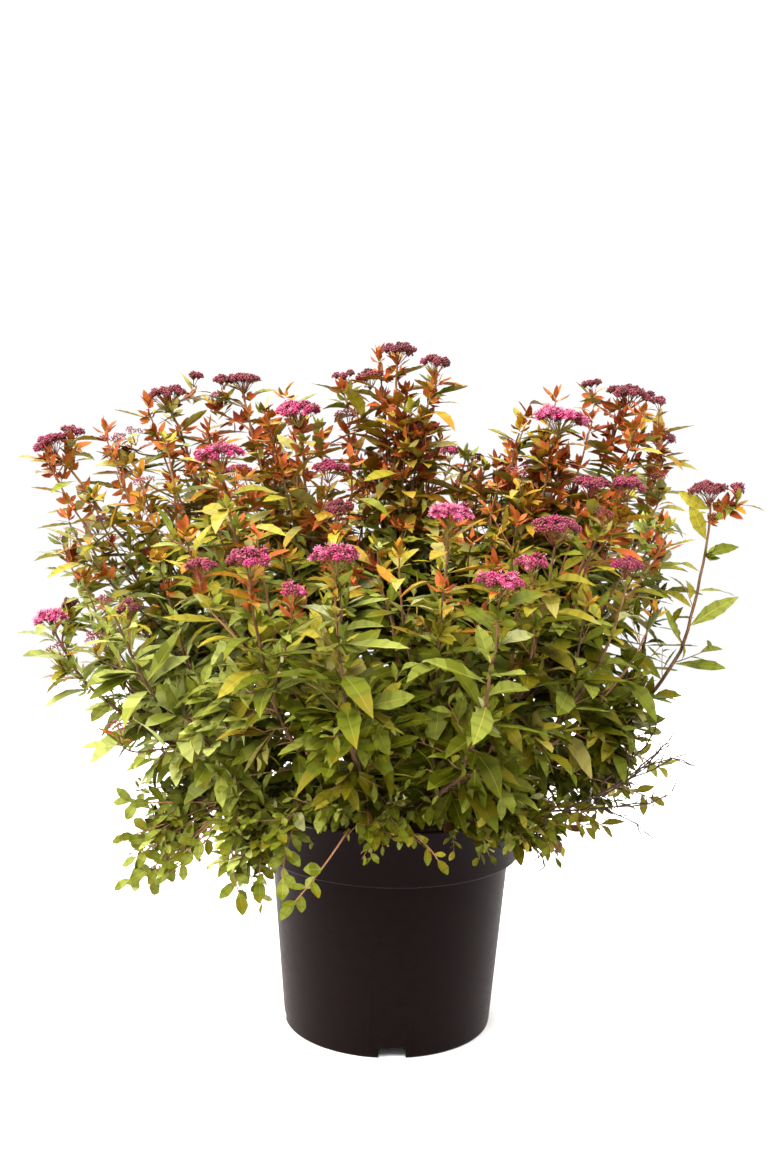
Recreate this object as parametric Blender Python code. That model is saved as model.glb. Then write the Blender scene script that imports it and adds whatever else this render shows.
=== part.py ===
# Flowering spirea shrub in its round nursery pot
# Metres, +Z up, the front faces -Y, and the pot stands on z = 0 centred on the origin
import math

import bmesh
import bpy
from mathutils import Matrix, Vector, noise

for stale in list(bpy.data.objects):
    bpy.data.objects.remove(stale, do_unlink=True)

# Pot
POT_SIDES = 36
BASE_RADIUS = 0.1083
WALL_TOP_RADIUS = 0.1240
COLLAR_LOW_RADIUS = 0.1351
RIM_RADIUS = 0.1400
LEDGE_HEIGHT = 0.1856
RIM_HEIGHT = 0.2438
WALL = 0.0024
BASE_RECESS = 0.0105
BASE_CHAMFER = 0.0022
BOSS_RADIUS = 0.0280
COLLAR_ROUND = 0.0022
RIM_ROUND = 0.0008
NOTCH_WIDTH = 0.0280
NOTCH_HEIGHT = 0.0095
NOTCH_SPLAY = 0.0016
NOTCH_TURN = math.radians(-2.4)

# Potting soil and the woody stool in it
GAP = 0.0003
SOIL_EDGE_HEIGHT = 0.2140
SOIL_HEIGHT = 0.2190
SOIL_FLAT_RADIUS = 0.0560
STOOL_RADIUS = 0.0480
STOOL_HEIGHT = 0.0260
STOOL_CENTRE = 0.0040
STOOL_DIRECTIONS = 46
STOOL_SEED = 3
SMOOTH_POT = 32
SMOOTH_SOIL = 20

# Boughs
BOUGH_SIDES = 6
BOUGH_STEPS = 6
BOUGH_START_HEIGHT = 0.2335
OUTER_RING = 0.0370
INNER_RING = 0.0170
BASE_THICKNESS = 0.0042
TIP_THICKNESS = 0.0019
SOCKET_GROW = 0.0004
THIRD = 1 / 3
LOW_OUTWARD = 0.42
LOW_DROP = 0.13
HIGH_OUTWARD = 0.33
HIGH_DROP = 0.27
SMOOTH_BOUGH = 62

# Foliage masses
MASS_DIRECTIONS = 70
LUMP_DEPTH = 0.30
LUMP_SCALE = 2.1
POT_CLEARANCE = 0.0008
SMALLEST_REACH = 0.10
NEIGHBOUR_REACH = 1.35
LINE_STEPS = 24


def principled(name, colour, roughness):
    material = bpy.data.materials.new(name)
    material.use_nodes = True
    shader = material.node_tree.nodes["Principled BSDF"]
    shader.inputs["Base Color"].default_value = (*colour, 1.0)
    shader.inputs["Roughness"].default_value = roughness
    return material


def new_object(name, mesh_builder, material):
    mesh = bpy.data.meshes.new(name)
    mesh_builder.to_mesh(mesh)
    mesh_builder.free()
    mesh.materials.append(material)
    piece = bpy.data.objects.new(name, mesh)
    bpy.context.scene.collection.objects.link(piece)
    return piece


def cut_away(piece, cutter):
    cutter.display_type = "WIRE"
    cutter.hide_render = True
    step = piece.modifiers.new("cut", "BOOLEAN")
    step.operation = "DIFFERENCE"
    step.solver = "EXACT"
    step.object = cutter
    bpy.context.view_layer.update()
    evaluated = piece.evaluated_get(bpy.context.evaluated_depsgraph_get())
    mesh = bpy.data.meshes.new_from_object(evaluated)
    piece.modifiers.remove(step)
    piece.data = mesh
    bpy.data.objects.remove(cutter, do_unlink=True)


def revolve(name, profile, sides, material):
    shell = bmesh.new()
    rings = []
    for radius, height in profile:
        if radius < 1e-6:
            rings.append([shell.verts.new((0, 0, height))])
            continue
        turn = [2 * math.pi * k / sides for k in range(sides)]
        rings.append([shell.verts.new((radius * math.cos(a), radius * math.sin(a), height)) for a in turn])
    for low, high in zip(rings, rings[1:]):
        for k in range(sides):
            n = (k + 1) % sides
            if len(low) == 1:
                shell.faces.new((low[0], high[n], high[k]))
            elif len(high) == 1:
                shell.faces.new((low[k], low[n], high[0]))
            else:
                shell.faces.new((low[k], low[n], high[n], high[k]))
    bmesh.ops.recalc_face_normals(shell, faces=shell.faces)
    return new_object(name, shell, material)


def smooth_round(piece, degrees):
    for face in piece.data.polygons:
        face.use_smooth = True
    piece.data.set_sharp_from_angle(angle=math.radians(degrees))


# Straight wall under the collar, as radius against height
def wall_radius(height):
    slope = (WALL_TOP_RADIUS - BASE_RADIUS) / LEDGE_HEIGHT
    return BASE_RADIUS + slope * height


def collar_radius(height):
    slope = (RIM_RADIUS - COLLAR_LOW_RADIUS) / (RIM_HEIGHT - LEDGE_HEIGHT)
    return COLLAR_LOW_RADIUS + slope * (height - LEDGE_HEIGHT)


def build_pot(material):
    floor_top = BASE_RECESS + WALL
    collar_in = collar_radius(LEDGE_HEIGHT) - WALL
    round_low = LEDGE_HEIGHT + COLLAR_ROUND
    profile = [
        (0, 0),
        (BOSS_RADIUS, 0),
        (BOSS_RADIUS, BASE_RECESS),
        (BASE_RADIUS - 2 * WALL, BASE_RECESS),
        (BASE_RADIUS - 2 * WALL, 0),
        (BASE_RADIUS - BASE_CHAMFER, 0),
        (wall_radius(BASE_CHAMFER), BASE_CHAMFER),
        (wall_radius(LEDGE_HEIGHT), LEDGE_HEIGHT),
        (collar_radius(LEDGE_HEIGHT) - COLLAR_ROUND, LEDGE_HEIGHT),
        (collar_radius(round_low), round_low),
        (collar_radius(RIM_HEIGHT - RIM_ROUND), RIM_HEIGHT - RIM_ROUND),
        (RIM_RADIUS - RIM_ROUND, RIM_HEIGHT),
        (RIM_RADIUS - WALL, RIM_HEIGHT),
        (collar_in, LEDGE_HEIGHT + WALL),
        (wall_radius(LEDGE_HEIGHT) - WALL, LEDGE_HEIGHT + WALL),
        (wall_radius(floor_top) - WALL, floor_top),
        (0, floor_top),
    ]
    pot = revolve("pot", profile, POT_SIDES, material)
    for quarter in range(4):
        notch = bmesh.new()
        low, high = NOTCH_WIDTH / 2 + NOTCH_SPLAY, NOTCH_WIDTH / 2
        corners = []
        for reach in (BASE_RADIUS - 4 * WALL, BASE_RADIUS + 4 * WALL):
            for side, height in ((-low, -0.01), (low, -0.01), (high, NOTCH_HEIGHT), (-high, NOTCH_HEIGHT)):
                corners.append(notch.verts.new((side, -reach, height)))
        for loop in ((3, 2, 1, 0), (4, 5, 6, 7), (0, 1, 5, 4), (1, 2, 6, 5), (2, 3, 7, 6), (3, 0, 4, 7)):
            notch.faces.new([corners[k] for k in loop])
        bmesh.ops.recalc_face_normals(notch, faces=notch.faces)
        turn = Matrix.Rotation(NOTCH_TURN + quarter * math.pi / 2, 3, "Z")
        bmesh.ops.rotate(notch, verts=notch.verts, cent=(0, 0, 0), matrix=turn)
        cut_away(pot, new_object("foot_notch", notch, material))
    smooth_round(pot, SMOOTH_POT)
    return pot


def build_soil(material):
    floor_top = BASE_RECESS + WALL + GAP
    shelf = LEDGE_HEIGHT + WALL + GAP
    profile = [
        (0, floor_top),
        (wall_radius(floor_top) - WALL - GAP, floor_top),
        (wall_radius(LEDGE_HEIGHT) - WALL - GAP, shelf),
        (collar_radius(LEDGE_HEIGHT) - WALL - GAP, shelf),
        (collar_radius(SOIL_EDGE_HEIGHT - WALL) - WALL - GAP, SOIL_EDGE_HEIGHT),
        (SOIL_FLAT_RADIUS, SOIL_HEIGHT),
        (0, SOIL_HEIGHT),
    ]
    soil = revolve("root_ball", profile, POT_SIDES, material)
    smooth_round(soil, SMOOTH_SOIL)
    return soil


# Unit directions spread evenly over a sphere, with the faces between them
def even_directions(count):
    golden = math.pi * (3 - math.sqrt(5))
    spread = []
    for k in range(count):
        z = 1 - 2 * (k + 0.5) / count
        ring = math.sqrt(1 - z * z)
        spread.append(Vector((ring * math.cos(k * golden), ring * math.sin(k * golden), z)))
    hull = bmesh.new()
    for k, direction in enumerate(spread):
        hull.verts.new(direction).index = k
    hull.verts.ensure_lookup_table()
    bmesh.ops.convex_hull(hull, input=hull.verts)
    order = {tuple(round(c, 5) for c in d): k for k, d in enumerate(spread)}
    faces = []
    for face in hull.faces:
        faces.append([order[tuple(round(c, 5) for c in vert.co)] for vert in face.verts])
    hull.free()
    return spread, faces


def lumpiness(direction, seed):
    place = direction * LUMP_SCALE + Vector((seed * 7.31, seed * 3.17, seed * 5.53))
    return 1 + LUMP_DEPTH * (noise.noise(place) + 0.5 * noise.noise(place * 2.1))


# Closed uneven solid about a centre, trimmed by the planes that part it from its neighbours
def uneven_solid(name, centre, turn, radii, planes, seed, pattern, material):
    directions, faces = pattern
    solid = bmesh.new()
    verts = []
    for direction in directions:
        reach = Vector((direction.x * radii[0], direction.y * radii[1], direction.z * radii[2]))
        reach = turn @ reach * lumpiness(direction, seed)
        share = 1.0
        for point, normal in planes:
            toward = reach.dot(normal)
            if toward > 1e-9:
                share = min(share, max(SMALLEST_REACH, (point - centre).dot(normal) / toward))
        verts.append(solid.verts.new(centre + reach * share))
    for face in faces:
        solid.faces.new([verts[k] for k in face])
    bmesh.ops.recalc_face_normals(solid, faces=solid.faces)
    return new_object(name, solid, material)


# Boughs: tip of the shoot (x, y, z), sweep from straight (0) to bent up sharply (1), ring of the stool,
# and where along it the bough enters its foliage (0 where the shoot has no bough of its own here)
SHOOTS = {
    "left_low": ((-0.335, -0.100, 0.442), 0.60, OUTER_RING, 0.50),
    "left_high": ((-0.346, -0.020, 0.602), 0.05, OUTER_RING, 0.52),
    "left_inner": ((-0.244, 0.070, 0.650), 0.20, OUTER_RING, 0.50),
    "left_back": ((-0.170, 0.120, 0.668), 0.30, INNER_RING, 0.50),
    "left_front": ((-0.170, -0.140, 0.604), 0.40, INNER_RING, 0.50),
    "centre_left": ((-0.098, -0.050, 0.642), 0.40, INNER_RING, 0.50),
    "front_left": ((-0.131, -0.250, 0.520), 0.65, OUTER_RING, 0.55),
    "front": ((-0.050, -0.300, 0.528), 0.75, OUTER_RING, 0.0),
    "top": ((0.004, 0.020, 0.704), 0.10, INNER_RING, 0.45),
    "front_inner": ((0.042, -0.210, 0.556), 0.60, INNER_RING, 0.50),
    "front_right": ((0.090, -0.300, 0.514), 0.80, OUTER_RING, 0.55),
    "right_front": ((0.142, -0.200, 0.548), 0.70, OUTER_RING, 0.0),
    "centre_right": ((0.163, 0.000, 0.640), 0.40, INNER_RING, 0.50),
    "right_inner": ((0.235, 0.060, 0.664), 0.30, OUTER_RING, 0.50),
    "right_mid": ((0.200, -0.100, 0.578), 0.50, OUTER_RING, 0.0),
    "right_low": ((0.262, -0.170, 0.470), 0.60, OUTER_RING, 0.0),
    "right_high": ((0.312, -0.045, 0.572), 1.00, OUTER_RING, 0.55),
    "left_fore": ((-0.260, -0.175, 0.462), 0.60, OUTER_RING, 0.0),
    "back": ((0.020, 0.260, 0.600), 0.60, OUTER_RING, 0.50),
    "back_right": ((0.205, 0.220, 0.560), 0.60, OUTER_RING, 0.50),
    "back_left": ((-0.190, 0.240, 0.560), 0.60, OUTER_RING, 0.50),
    "right_back": ((0.285, 0.095, 0.615), 0.60, OUTER_RING, 0.0),
    "left_rear": ((-0.338, 0.100, 0.512), 0.50, OUTER_RING, 0.0),
    "centre_back": ((0.078, 0.108, 0.580), 0.30, INNER_RING, 0.0),
}

# Width of the foliage round each shoot, and how far down the shoot it starts
SHOOT_WIDTH = {"left_low": 0.046, "left_high": 0.044, "top": 0.056, "right_inner": 0.058, "right_high": 0.038,
               "left_inner": 0.046, "left_back": 0.048, "back": 0.062, "centre_back": 0.060,
               "back_right": 0.060, "back_left": 0.060}
USUAL_WIDTH = 0.050
SHOOT_START = {"left_high": 0.52, "top": 0.45, "right_high": 0.45, "left_low": 0.52}
USUAL_START = 0.50
PAST_TIP = {"left_high": 0.028, "left_low": 0.018, "right_high": 0.014, "left_rear": 0.022}
USUAL_PAST_TIP = 0.010

# Foliage on the short side growth: centre, then half sizes
BODY_MASSES = {
    "belly_left": ((-0.215, -0.040, 0.345), (0.072, 0.072, 0.070)),
    "belly_front_left": ((-0.155, -0.165, 0.350), (0.070, 0.066, 0.075)),
    "belly_front": ((-0.035, -0.225, 0.365), (0.074, 0.062, 0.078)),
    "belly_front_right": ((0.095, -0.205, 0.355), (0.072, 0.064, 0.078)),
    "belly_right": ((0.205, -0.085, 0.340), (0.070, 0.075, 0.072)),
    "belly_right_back": ((0.195, 0.085, 0.370), (0.072, 0.075, 0.075)),
    "belly_back": ((0.070, 0.205, 0.380), (0.078, 0.068, 0.080)),
    "belly_back_left": ((-0.090, 0.195, 0.375), (0.078, 0.070, 0.080)),
    "belly_left_back": ((-0.205, 0.085, 0.360), (0.072, 0.070, 0.075)),
    "skirt_left": ((-0.214, -0.088, 0.240), (0.058, 0.058, 0.068)),
    "skirt_front_left": ((-0.128, -0.172, 0.245), (0.052, 0.046, 0.058)),
    "skirt_front": ((-0.015, -0.190, 0.282), (0.068, 0.046, 0.036)),
    "skirt_front_right": ((0.120, -0.155, 0.262), (0.066, 0.052, 0.050)),
    "skirt_right": ((0.215, -0.010, 0.262), (0.060, 0.072, 0.050)),
    "skirt_right_back": ((0.165, 0.130, 0.262), (0.064, 0.062, 0.056)),
    "skirt_back": ((-0.005, 0.200, 0.272), (0.084, 0.056, 0.066)),
    "skirt_left_back": ((-0.180, 0.095, 0.256), (0.064, 0.072, 0.056)),
}


# Even places round each ring of the stool, taken in the order of the shoots' directions
def stool_places():
    places = {}
    for ring in (OUTER_RING, INNER_RING):
        bearing = {}
        for shoot, (tip, _, own_ring, _) in SHOOTS.items():
            if own_ring == ring:
                bearing[shoot] = math.atan2(tip[1], tip[0])
        order = sorted(bearing, key=bearing.get)
        step = 2 * math.pi / len(order)
        first = sum(bearing[shoot] - k * step for k, shoot in enumerate(order)) / len(order)
        for k, shoot in enumerate(order):
            angle = first + k * step
            places[shoot] = Vector((ring * math.cos(angle), ring * math.sin(angle), BOUGH_START_HEIGHT))
    return places


STOOL_PLACES = stool_places()


def bough_point(shoot, t):
    tip, sweep, ring, _ = SHOOTS[shoot]
    tip = Vector(tip)
    start = STOOL_PLACES[shoot]
    span = tip - start
    flat = Vector((span.x, span.y, 0))
    rise = Vector((0, 0, span.z))
    low = start + flat * (THIRD + LOW_OUTWARD * sweep) + rise * (THIRD - LOW_DROP * sweep)
    high = tip - flat * (THIRD - HIGH_OUTWARD * sweep) - rise * (THIRD + HIGH_DROP * sweep)
    s = 1 - t
    return start * s ** 3 + low * 3 * s * s * t + high * 3 * s * t * t + tip * t ** 3


def bough_thickness(t):
    return BASE_THICKNESS + (TIP_THICKNESS - BASE_THICKNESS) * t


def bough_solid(name, shoot, reach, grow, lengthen, material):
    limb = bmesh.new()
    times = [reach * k / BOUGH_STEPS for k in range(BOUGH_STEPS + 1)]
    points = [bough_point(shoot, t) for t in times]
    points[0] -= (points[1] - points[0]).normalized() * lengthen
    points[-1] += (points[-1] - points[-2]).normalized() * lengthen
    rings = []
    side = Vector((0, 1, 0)).cross(points[1] - points[0])
    for k, point in enumerate(points):
        ahead = points[min(k + 1, BOUGH_STEPS)] - points[max(k - 1, 0)]
        ahead.normalize()
        side = (side - ahead * side.dot(ahead)).normalized()
        across = ahead.cross(side)
        thick = bough_thickness(times[k]) + grow
        ring = []
        for n in range(BOUGH_SIDES):
            angle = 2 * math.pi * n / BOUGH_SIDES
            ring.append(limb.verts.new(point + (side * math.cos(angle) + across * math.sin(angle)) * thick))
        rings.append(ring)
    for low, high in zip(rings, rings[1:]):
        for n in range(BOUGH_SIDES):
            m = (n + 1) % BOUGH_SIDES
            limb.faces.new((low[n], low[m], high[m], high[n]))
    limb.faces.new(list(reversed(rings[0])))
    limb.faces.new(rings[-1])
    bmesh.ops.recalc_face_normals(limb, faces=limb.faces)
    return new_object(name, limb, material)


def nearest_between(a0, a1, b0, b1):
    best = None
    for i in range(LINE_STEPS + 1):
        p = a0.lerp(a1, i / LINE_STEPS)
        line = b1 - b0
        share = 0 if line.length_squared < 1e-12 else max(0, min(1, (p - b0).dot(line) / line.length_squared))
        q = b0 + line * share
        if best is None or (p - q).length < best[0]:
            best = ((p - q).length, p, q)
    return best


# Every mass as a name, a centre, a turn, half sizes, and the line and width that part it from the others
def list_masses():
    masses = []
    for shoot in SHOOTS:
        width = SHOOT_WIDTH.get(shoot, USUAL_WIDTH)
        low = bough_point(shoot, SHOOT_START.get(shoot, USUAL_START))
        high = bough_point(shoot, 1)
        line = high - low
        high = high + line.normalized() * PAST_TIP.get(shoot, USUAL_PAST_TIP)
        centre = (low + high) / 2
        half = (high - low).length / 2
        turn = line.to_track_quat("Z", "Y").to_matrix()
        inner = line.normalized() * max(half - width, 0)
        ends = (centre - inner, centre + inner)
        masses.append(["foliage_" + shoot, centre, turn, (width, width, half), *ends, width])
    for name, (centre, half) in BODY_MASSES.items():
        centre = Vector(centre)
        width = min(half)
        masses.append(["foliage_" + name, centre, Matrix.Identity(3), half, centre, centre, sum(half) / 3])
    return masses


def parting_planes(masses, index):
    _, centre, _, half, a0, a1, width = masses[index]
    planes = []
    for other, (_, _, _, other_half, b0, b1, other_width) in enumerate(masses):
        if other == index:
            continue
        distance, p, q = nearest_between(a0, a1, b0, b1) if index < other else nearest_between(b0, b1, a0, a1)
        if index > other:
            p, q = q, p
        if distance > NEIGHBOUR_REACH * (width + other_width) or distance < 1e-6:
            continue
        normal = (q - p) / distance
        share = width / (width + other_width)
        planes.append((p + normal * (distance * share - GAP / 2), normal))
    return planes


def keep_largest(piece):
    solid = bmesh.new()
    solid.from_mesh(piece.data)
    unseen = set(solid.verts)
    islands = []
    while unseen:
        island, front = set(), [unseen.pop()]
        while front:
            vert = front.pop()
            island.add(vert)
            for edge in vert.link_edges:
                far = edge.other_vert(vert)
                if far in unseen:
                    unseen.discard(far)
                    front.append(far)
        islands.append(island)
    islands.sort(key=len)
    for island in islands[:-1]:
        bmesh.ops.delete(solid, geom=list(island), context="VERTS")
    solid.to_mesh(piece.data)
    solid.free()


def box_of(piece):
    corners = [vert.co for vert in piece.data.vertices]
    low = Vector([min(c[k] for c in corners) for k in range(3)])
    high = Vector([max(c[k] for c in corners) for k in range(3)])
    return low, high


def boxes_meet(first, second):
    (a, b), (c, d) = first, second
    return all(a[k] <= d[k] and c[k] <= b[k] for k in range(3))


plastic = principled("pot_plastic", (0.018, 0.015, 0.014), 0.45)
earth = principled("potting_soil", (0.045, 0.030, 0.020), 0.95)
bark = principled("bark", (0.150, 0.080, 0.055), 0.80)
leafage = principled("foliage", (0.240, 0.300, 0.060), 0.85)

build_pot(plastic)
build_soil(earth)

stool_base = Vector((0, 0, SOIL_HEIGHT + GAP))
stool_planes = [(stool_base, Vector((0, 0, -1)))]
stool = uneven_solid("short_stem", stool_base + Vector((0, 0, STOOL_CENTRE)), Matrix.Identity(3),
                     (STOOL_RADIUS, STOOL_RADIUS, STOOL_HEIGHT), stool_planes, STOOL_SEED,
                     even_directions(STOOL_DIRECTIONS), bark)

real_boughs = {shoot: entry for shoot, (_, _, _, entry) in SHOOTS.items() if entry > 0}
for shoot, entry in real_boughs.items():
    bough = bough_solid("bough_" + shoot, shoot, entry, 0, 0, bark)
    smooth_round(bough, SMOOTH_BOUGH)
    socket = bough_solid("socket", shoot, entry, SOCKET_GROW, SOCKET_GROW, bark)
    cut_away(stool, socket)
keep_largest(stool)

pattern = even_directions(MASS_DIRECTIONS)
all_masses = list_masses()
pot_body = [(0, 0),
            (BASE_RADIUS + POT_CLEARANCE, 0),
            (WALL_TOP_RADIUS + POT_CLEARANCE, LEDGE_HEIGHT - POT_CLEARANCE),
            (COLLAR_LOW_RADIUS + POT_CLEARANCE, LEDGE_HEIGHT - POT_CLEARANCE),
            (RIM_RADIUS + POT_CLEARANCE, RIM_HEIGHT + POT_CLEARANCE),
            (0, RIM_HEIGHT + POT_CLEARANCE)]
for index, (name, centre, turn, half, _, _, _) in enumerate(all_masses):
    planes = parting_planes(all_masses, index)
    mass = uneven_solid(name, centre, turn, half, planes, index + 1, pattern, leafage)
    if box_of(mass)[0].z < RIM_HEIGHT + POT_CLEARANCE:
        cut_away(mass, revolve("pot_room", pot_body, POT_SIDES, leafage))
    for shoot, entry in real_boughs.items():
        socket = bough_solid("socket", shoot, entry, SOCKET_GROW, SOCKET_GROW, bark)
        if boxes_meet(box_of(mass), box_of(socket)):
            cut_away(mass, socket)
        else:
            bpy.data.objects.remove(socket, do_unlink=True)
    keep_largest(mass)
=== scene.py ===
import math
import random

import bmesh
import bpy
import numpy as np
from mathutils import Matrix, Vector, noise


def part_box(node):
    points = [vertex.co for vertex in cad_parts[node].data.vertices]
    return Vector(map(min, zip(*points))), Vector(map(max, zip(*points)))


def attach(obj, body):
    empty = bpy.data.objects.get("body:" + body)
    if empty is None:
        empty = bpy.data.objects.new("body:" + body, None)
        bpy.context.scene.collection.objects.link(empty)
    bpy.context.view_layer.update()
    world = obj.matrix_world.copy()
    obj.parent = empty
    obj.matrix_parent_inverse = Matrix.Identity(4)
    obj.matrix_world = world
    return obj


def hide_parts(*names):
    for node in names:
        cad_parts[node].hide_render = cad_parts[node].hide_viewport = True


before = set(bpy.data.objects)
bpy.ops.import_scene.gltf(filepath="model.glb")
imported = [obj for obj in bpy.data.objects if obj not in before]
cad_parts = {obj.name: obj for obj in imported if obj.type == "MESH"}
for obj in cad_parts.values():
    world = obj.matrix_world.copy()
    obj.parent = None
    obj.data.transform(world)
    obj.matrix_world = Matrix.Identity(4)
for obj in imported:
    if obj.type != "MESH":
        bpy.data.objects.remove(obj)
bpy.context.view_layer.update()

upward = Vector((0, 0, 1))
goldenTurn = math.radians(137.508)
noise.seed_set(11)
fullTurn = 6.28
either = (-1, 1)


# Tables of places are in mm
def mm(*place):
    return tuple(value / 1000 for value in place)


# A random vector: for each axis a fixed value, or a span to draw from
def scatter(rng, *spans):
    return Vector([rng.uniform(*span) if isinstance(span, tuple) else span for span in spans])


# The direction at an angle from the first towards the second, which is square to it
def between(first, second, angle):
    return first * math.cos(angle) + second * math.sin(angle)


# Shoots of the shrub: tip, sweep, ring of the stool
stoolRings, boughStart = {"outer": 0.037, "inner": 0.017}, 0.2335
shoots = {
    "left_low": (mm(-335, -100, 436), 0.60, "outer"),
    "left_high": (mm(-346, -20, 596), 0.05, "outer"),
    "left_inner": (mm(-244, 70, 644), 0.20, "outer"),
    "left_back": (mm(-170, 120, 662), 0.30, "inner"),
    "left_front": (mm(-170, -140, 598), 0.40, "inner"),
    "centre_left": (mm(-98, -50, 636), 0.40, "inner"),
    "front_left": (mm(-131, -250, 512), 0.65, "outer"),
    "front": (mm(-50, -300, 520), 0.75, "outer"),
    "top": (mm(-3, 20, 696), 0.10, "inner"),
    "front_inner": (mm(44, -210, 550), 0.60, "inner"),
    "front_right": (mm(87, -300, 505), 0.80, "outer"),
    "right_front": (mm(142, -200, 540), 0.70, "outer"),
    "centre_right": (mm(163, 0, 632), 0.40, "inner"),
    "right_inner": (mm(235, 60, 656), 0.30, "outer"),
    "right_mid": (mm(192, -100, 570), 0.50, "outer"),
    "right_low": (mm(213, -170, 500), 0.60, "outer"),
    "right_high": (mm(310, -45, 564), 1.00, "outer"),
    "left_fore": (mm(-260, -175, 455), 0.60, "outer"),
    "back": (mm(20, 260, 592), 0.60, "outer"),
    "back_right": (mm(205, 220, 552), 0.60, "outer"),
    "back_left": (mm(-190, 240, 552), 0.60, "outer"),
    "right_back": (mm(285, 95, 607), 0.60, "outer"),
    "left_rear": (mm(-338, 100, 505), 0.50, "outer"),
    "centre_back": (mm(78, 108, 572), 0.30, "inner"),
}

# Foliage bodies of the side growth: centre, half sizes
bodies = {
    "belly_left": ((-215, -40, 345), (72, 72, 70)),
    "belly_front_left": ((-155, -165, 350), (70, 66, 75)),
    "belly_front": ((-35, -225, 365), (74, 62, 78)),
    "belly_front_right": ((95, -205, 355), (72, 64, 78)),
    "belly_right": ((205, -85, 340), (70, 75, 72)),
    "belly_right_back": ((195, 85, 370), (72, 75, 75)),
    "belly_back": ((70, 205, 380), (78, 68, 80)),
    "belly_back_left": ((-90, 195, 375), (78, 70, 80)),
    "belly_left_back": ((-205, 85, 360), (72, 70, 75)),
    "skirt_left": ((-214, -88, 240), (58, 58, 68)),
    "skirt_front_left": ((-128, -172, 245), (52, 46, 58)),
    "skirt_front": ((-15, -190, 282), (68, 46, 36)),
    "skirt_front_right": ((120, -155, 262), (66, 52, 50)),
    "skirt_right": ((215, -10, 262), (60, 72, 50)),
    "skirt_right_back": ((165, 130, 262), (64, 62, 56)),
    "skirt_back": ((-5, 200, 272), (84, 56, 66)),
    "skirt_left_back": ((-180, 95, 256), (64, 72, 56)),
}

# Flower heads: shoot that bears it, top of the head, width, stage of flower
flowerHeads = (
    ("left_high", -354, -20, 607, 40, "bud"),
    ("left_high", -329, -10, 615, 24, "tight"),
    ("left_inner", -215, 80, 671, 16, "tight"),
    ("left_inner", -248, 70, 656, 42, "tight"),
    ("left_inner", -280, 50, 613, 27, "dull"),
    ("left_inner", -293, 40, 607, 14, "dull"),
    ("left_back", -170, 120, 672, 42, "tight"),
    ("left_back", -193, 120, 668, 16, "tight"),
    ("left_back", -198, 110, 649, 14, "dull"),
    ("centre_left", -100, -60, 647, 47, "bright"),
    ("top", -54, 50, 639, 36, "dull"),
    ("left_front", -170, -140, 609, 45, "bright"),
    ("centre_left", -66, -100, 593, 36, "bud"),
    ("left_front", -251, -60, 571, 24, "dull"),
    ("front_left", -177, -210, 511, 32, "bud"),
    ("front_left", -131, -250, 524, 43, "bright"),
    ("front", -53, -300, 535, 43, "bright"),
    ("front_left", -89, -280, 499, 24, "bright"),
    ("left_low", -335, -100, 442, 34, "open"),
    ("left_low", -323, -60, 448, 13, "tight"),
    ("left_fore", -276, -130, 463, 14, "dull"),
    ("left_fore", -245, -170, 465, 20, "tight"),
    ("centre_left", -57, -140, 558, 28, "tight"),
    ("left_rear", -354, 70, 497, 25, "dull"),
    ("top", -58, 40, 677, 21, "tight"),
    ("top", -31, 30, 678, 29, "tight"),
    ("top", -3, 20, 706, 39, "tight"),
    ("top", 37, 0, 693, 33, "tight"),
    ("centre_right", 164, 0, 643, 51, "open"),
    ("right_inner", 204, 90, 671, 18, "tight"),
    ("right_inner", 244, 60, 667, 49, "tight"),
    ("right_back", 271, 50, 657, 18, "tight"),
    ("right_mid", 185, -100, 583, 38, "bud"),
    ("right_mid", 221, -90, 581, 38, "bud"),
    ("front_inner", 46, -210, 562, 37, "open"),
    ("right_front", 141, -200, 553, 50, "bud"),
    ("right_front", 119, -230, 522, 30, "bright"),
    ("front_right", 86, -300, 515, 40, "bright"),
    ("right_low", 212, -170, 514, 33, "bud"),
    ("right_high", 308, -45, 575, 40, "tight"),
    ("right_high", 336, -50, 575, 13, "tight"),
    ("right_back", 274, 40, 578, 18, "dull"),
    ("right_mid", 196, -120, 554, 23, "dull"),
    ("left_low", -327, -100, 412, 25, "dull"),
    ("left_fore", -285, -140, 429, 16, "dull"),
    ("left_fore", -257, -170, 352, 22, "dull"),
    ("centre_back", 77, 80, 594, 28, "tight"),
    ("centre_right", 120, -50, 588, 24, "dull"),
    ("back", 20, 262, 602, 46, "tight"),
    ("back", 62, 240, 590, 28, "bud"),
    ("back", -40, 262, 570, 34, "bright"),
    ("back_right", 205, 222, 562, 44, "tight"),
    ("back_right", 150, 250, 520, 36, "bright"),
    ("back_right", 262, 180, 520, 30, "bud"),
    ("back_left", -190, 242, 562, 44, "bud"),
    ("back_left", -130, 262, 520, 40, "open"),
    ("back_left", -248, 200, 520, 28, "tight"),
    ("left_rear", -330, 110, 512, 30, "tight"),
    ("right_back", 285, 100, 618, 34, "tight"),
)


def stoolPlaces():
    places = {}
    for ring, radius in stoolRings.items():
        bearing = {n: math.atan2(tip[1], tip[0]) for n, (tip, _, own) in shoots.items() if own == ring}
        order = sorted(bearing, key=bearing.get)
        step = 2 * math.pi / len(order)
        first = sum(bearing[n] - k * step for k, n in enumerate(order)) / len(order)
        for k, n in enumerate(order):
            angle = first + k * step
            places[n] = Vector((radius * math.cos(angle), radius * math.sin(angle), boughStart))
    return places


def cubic(a, b, c, d, t):
    s = 1 - t
    return a * s ** 3 + b * 3 * s * s * t + c * 3 * s * t * t + d * t ** 3


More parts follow.
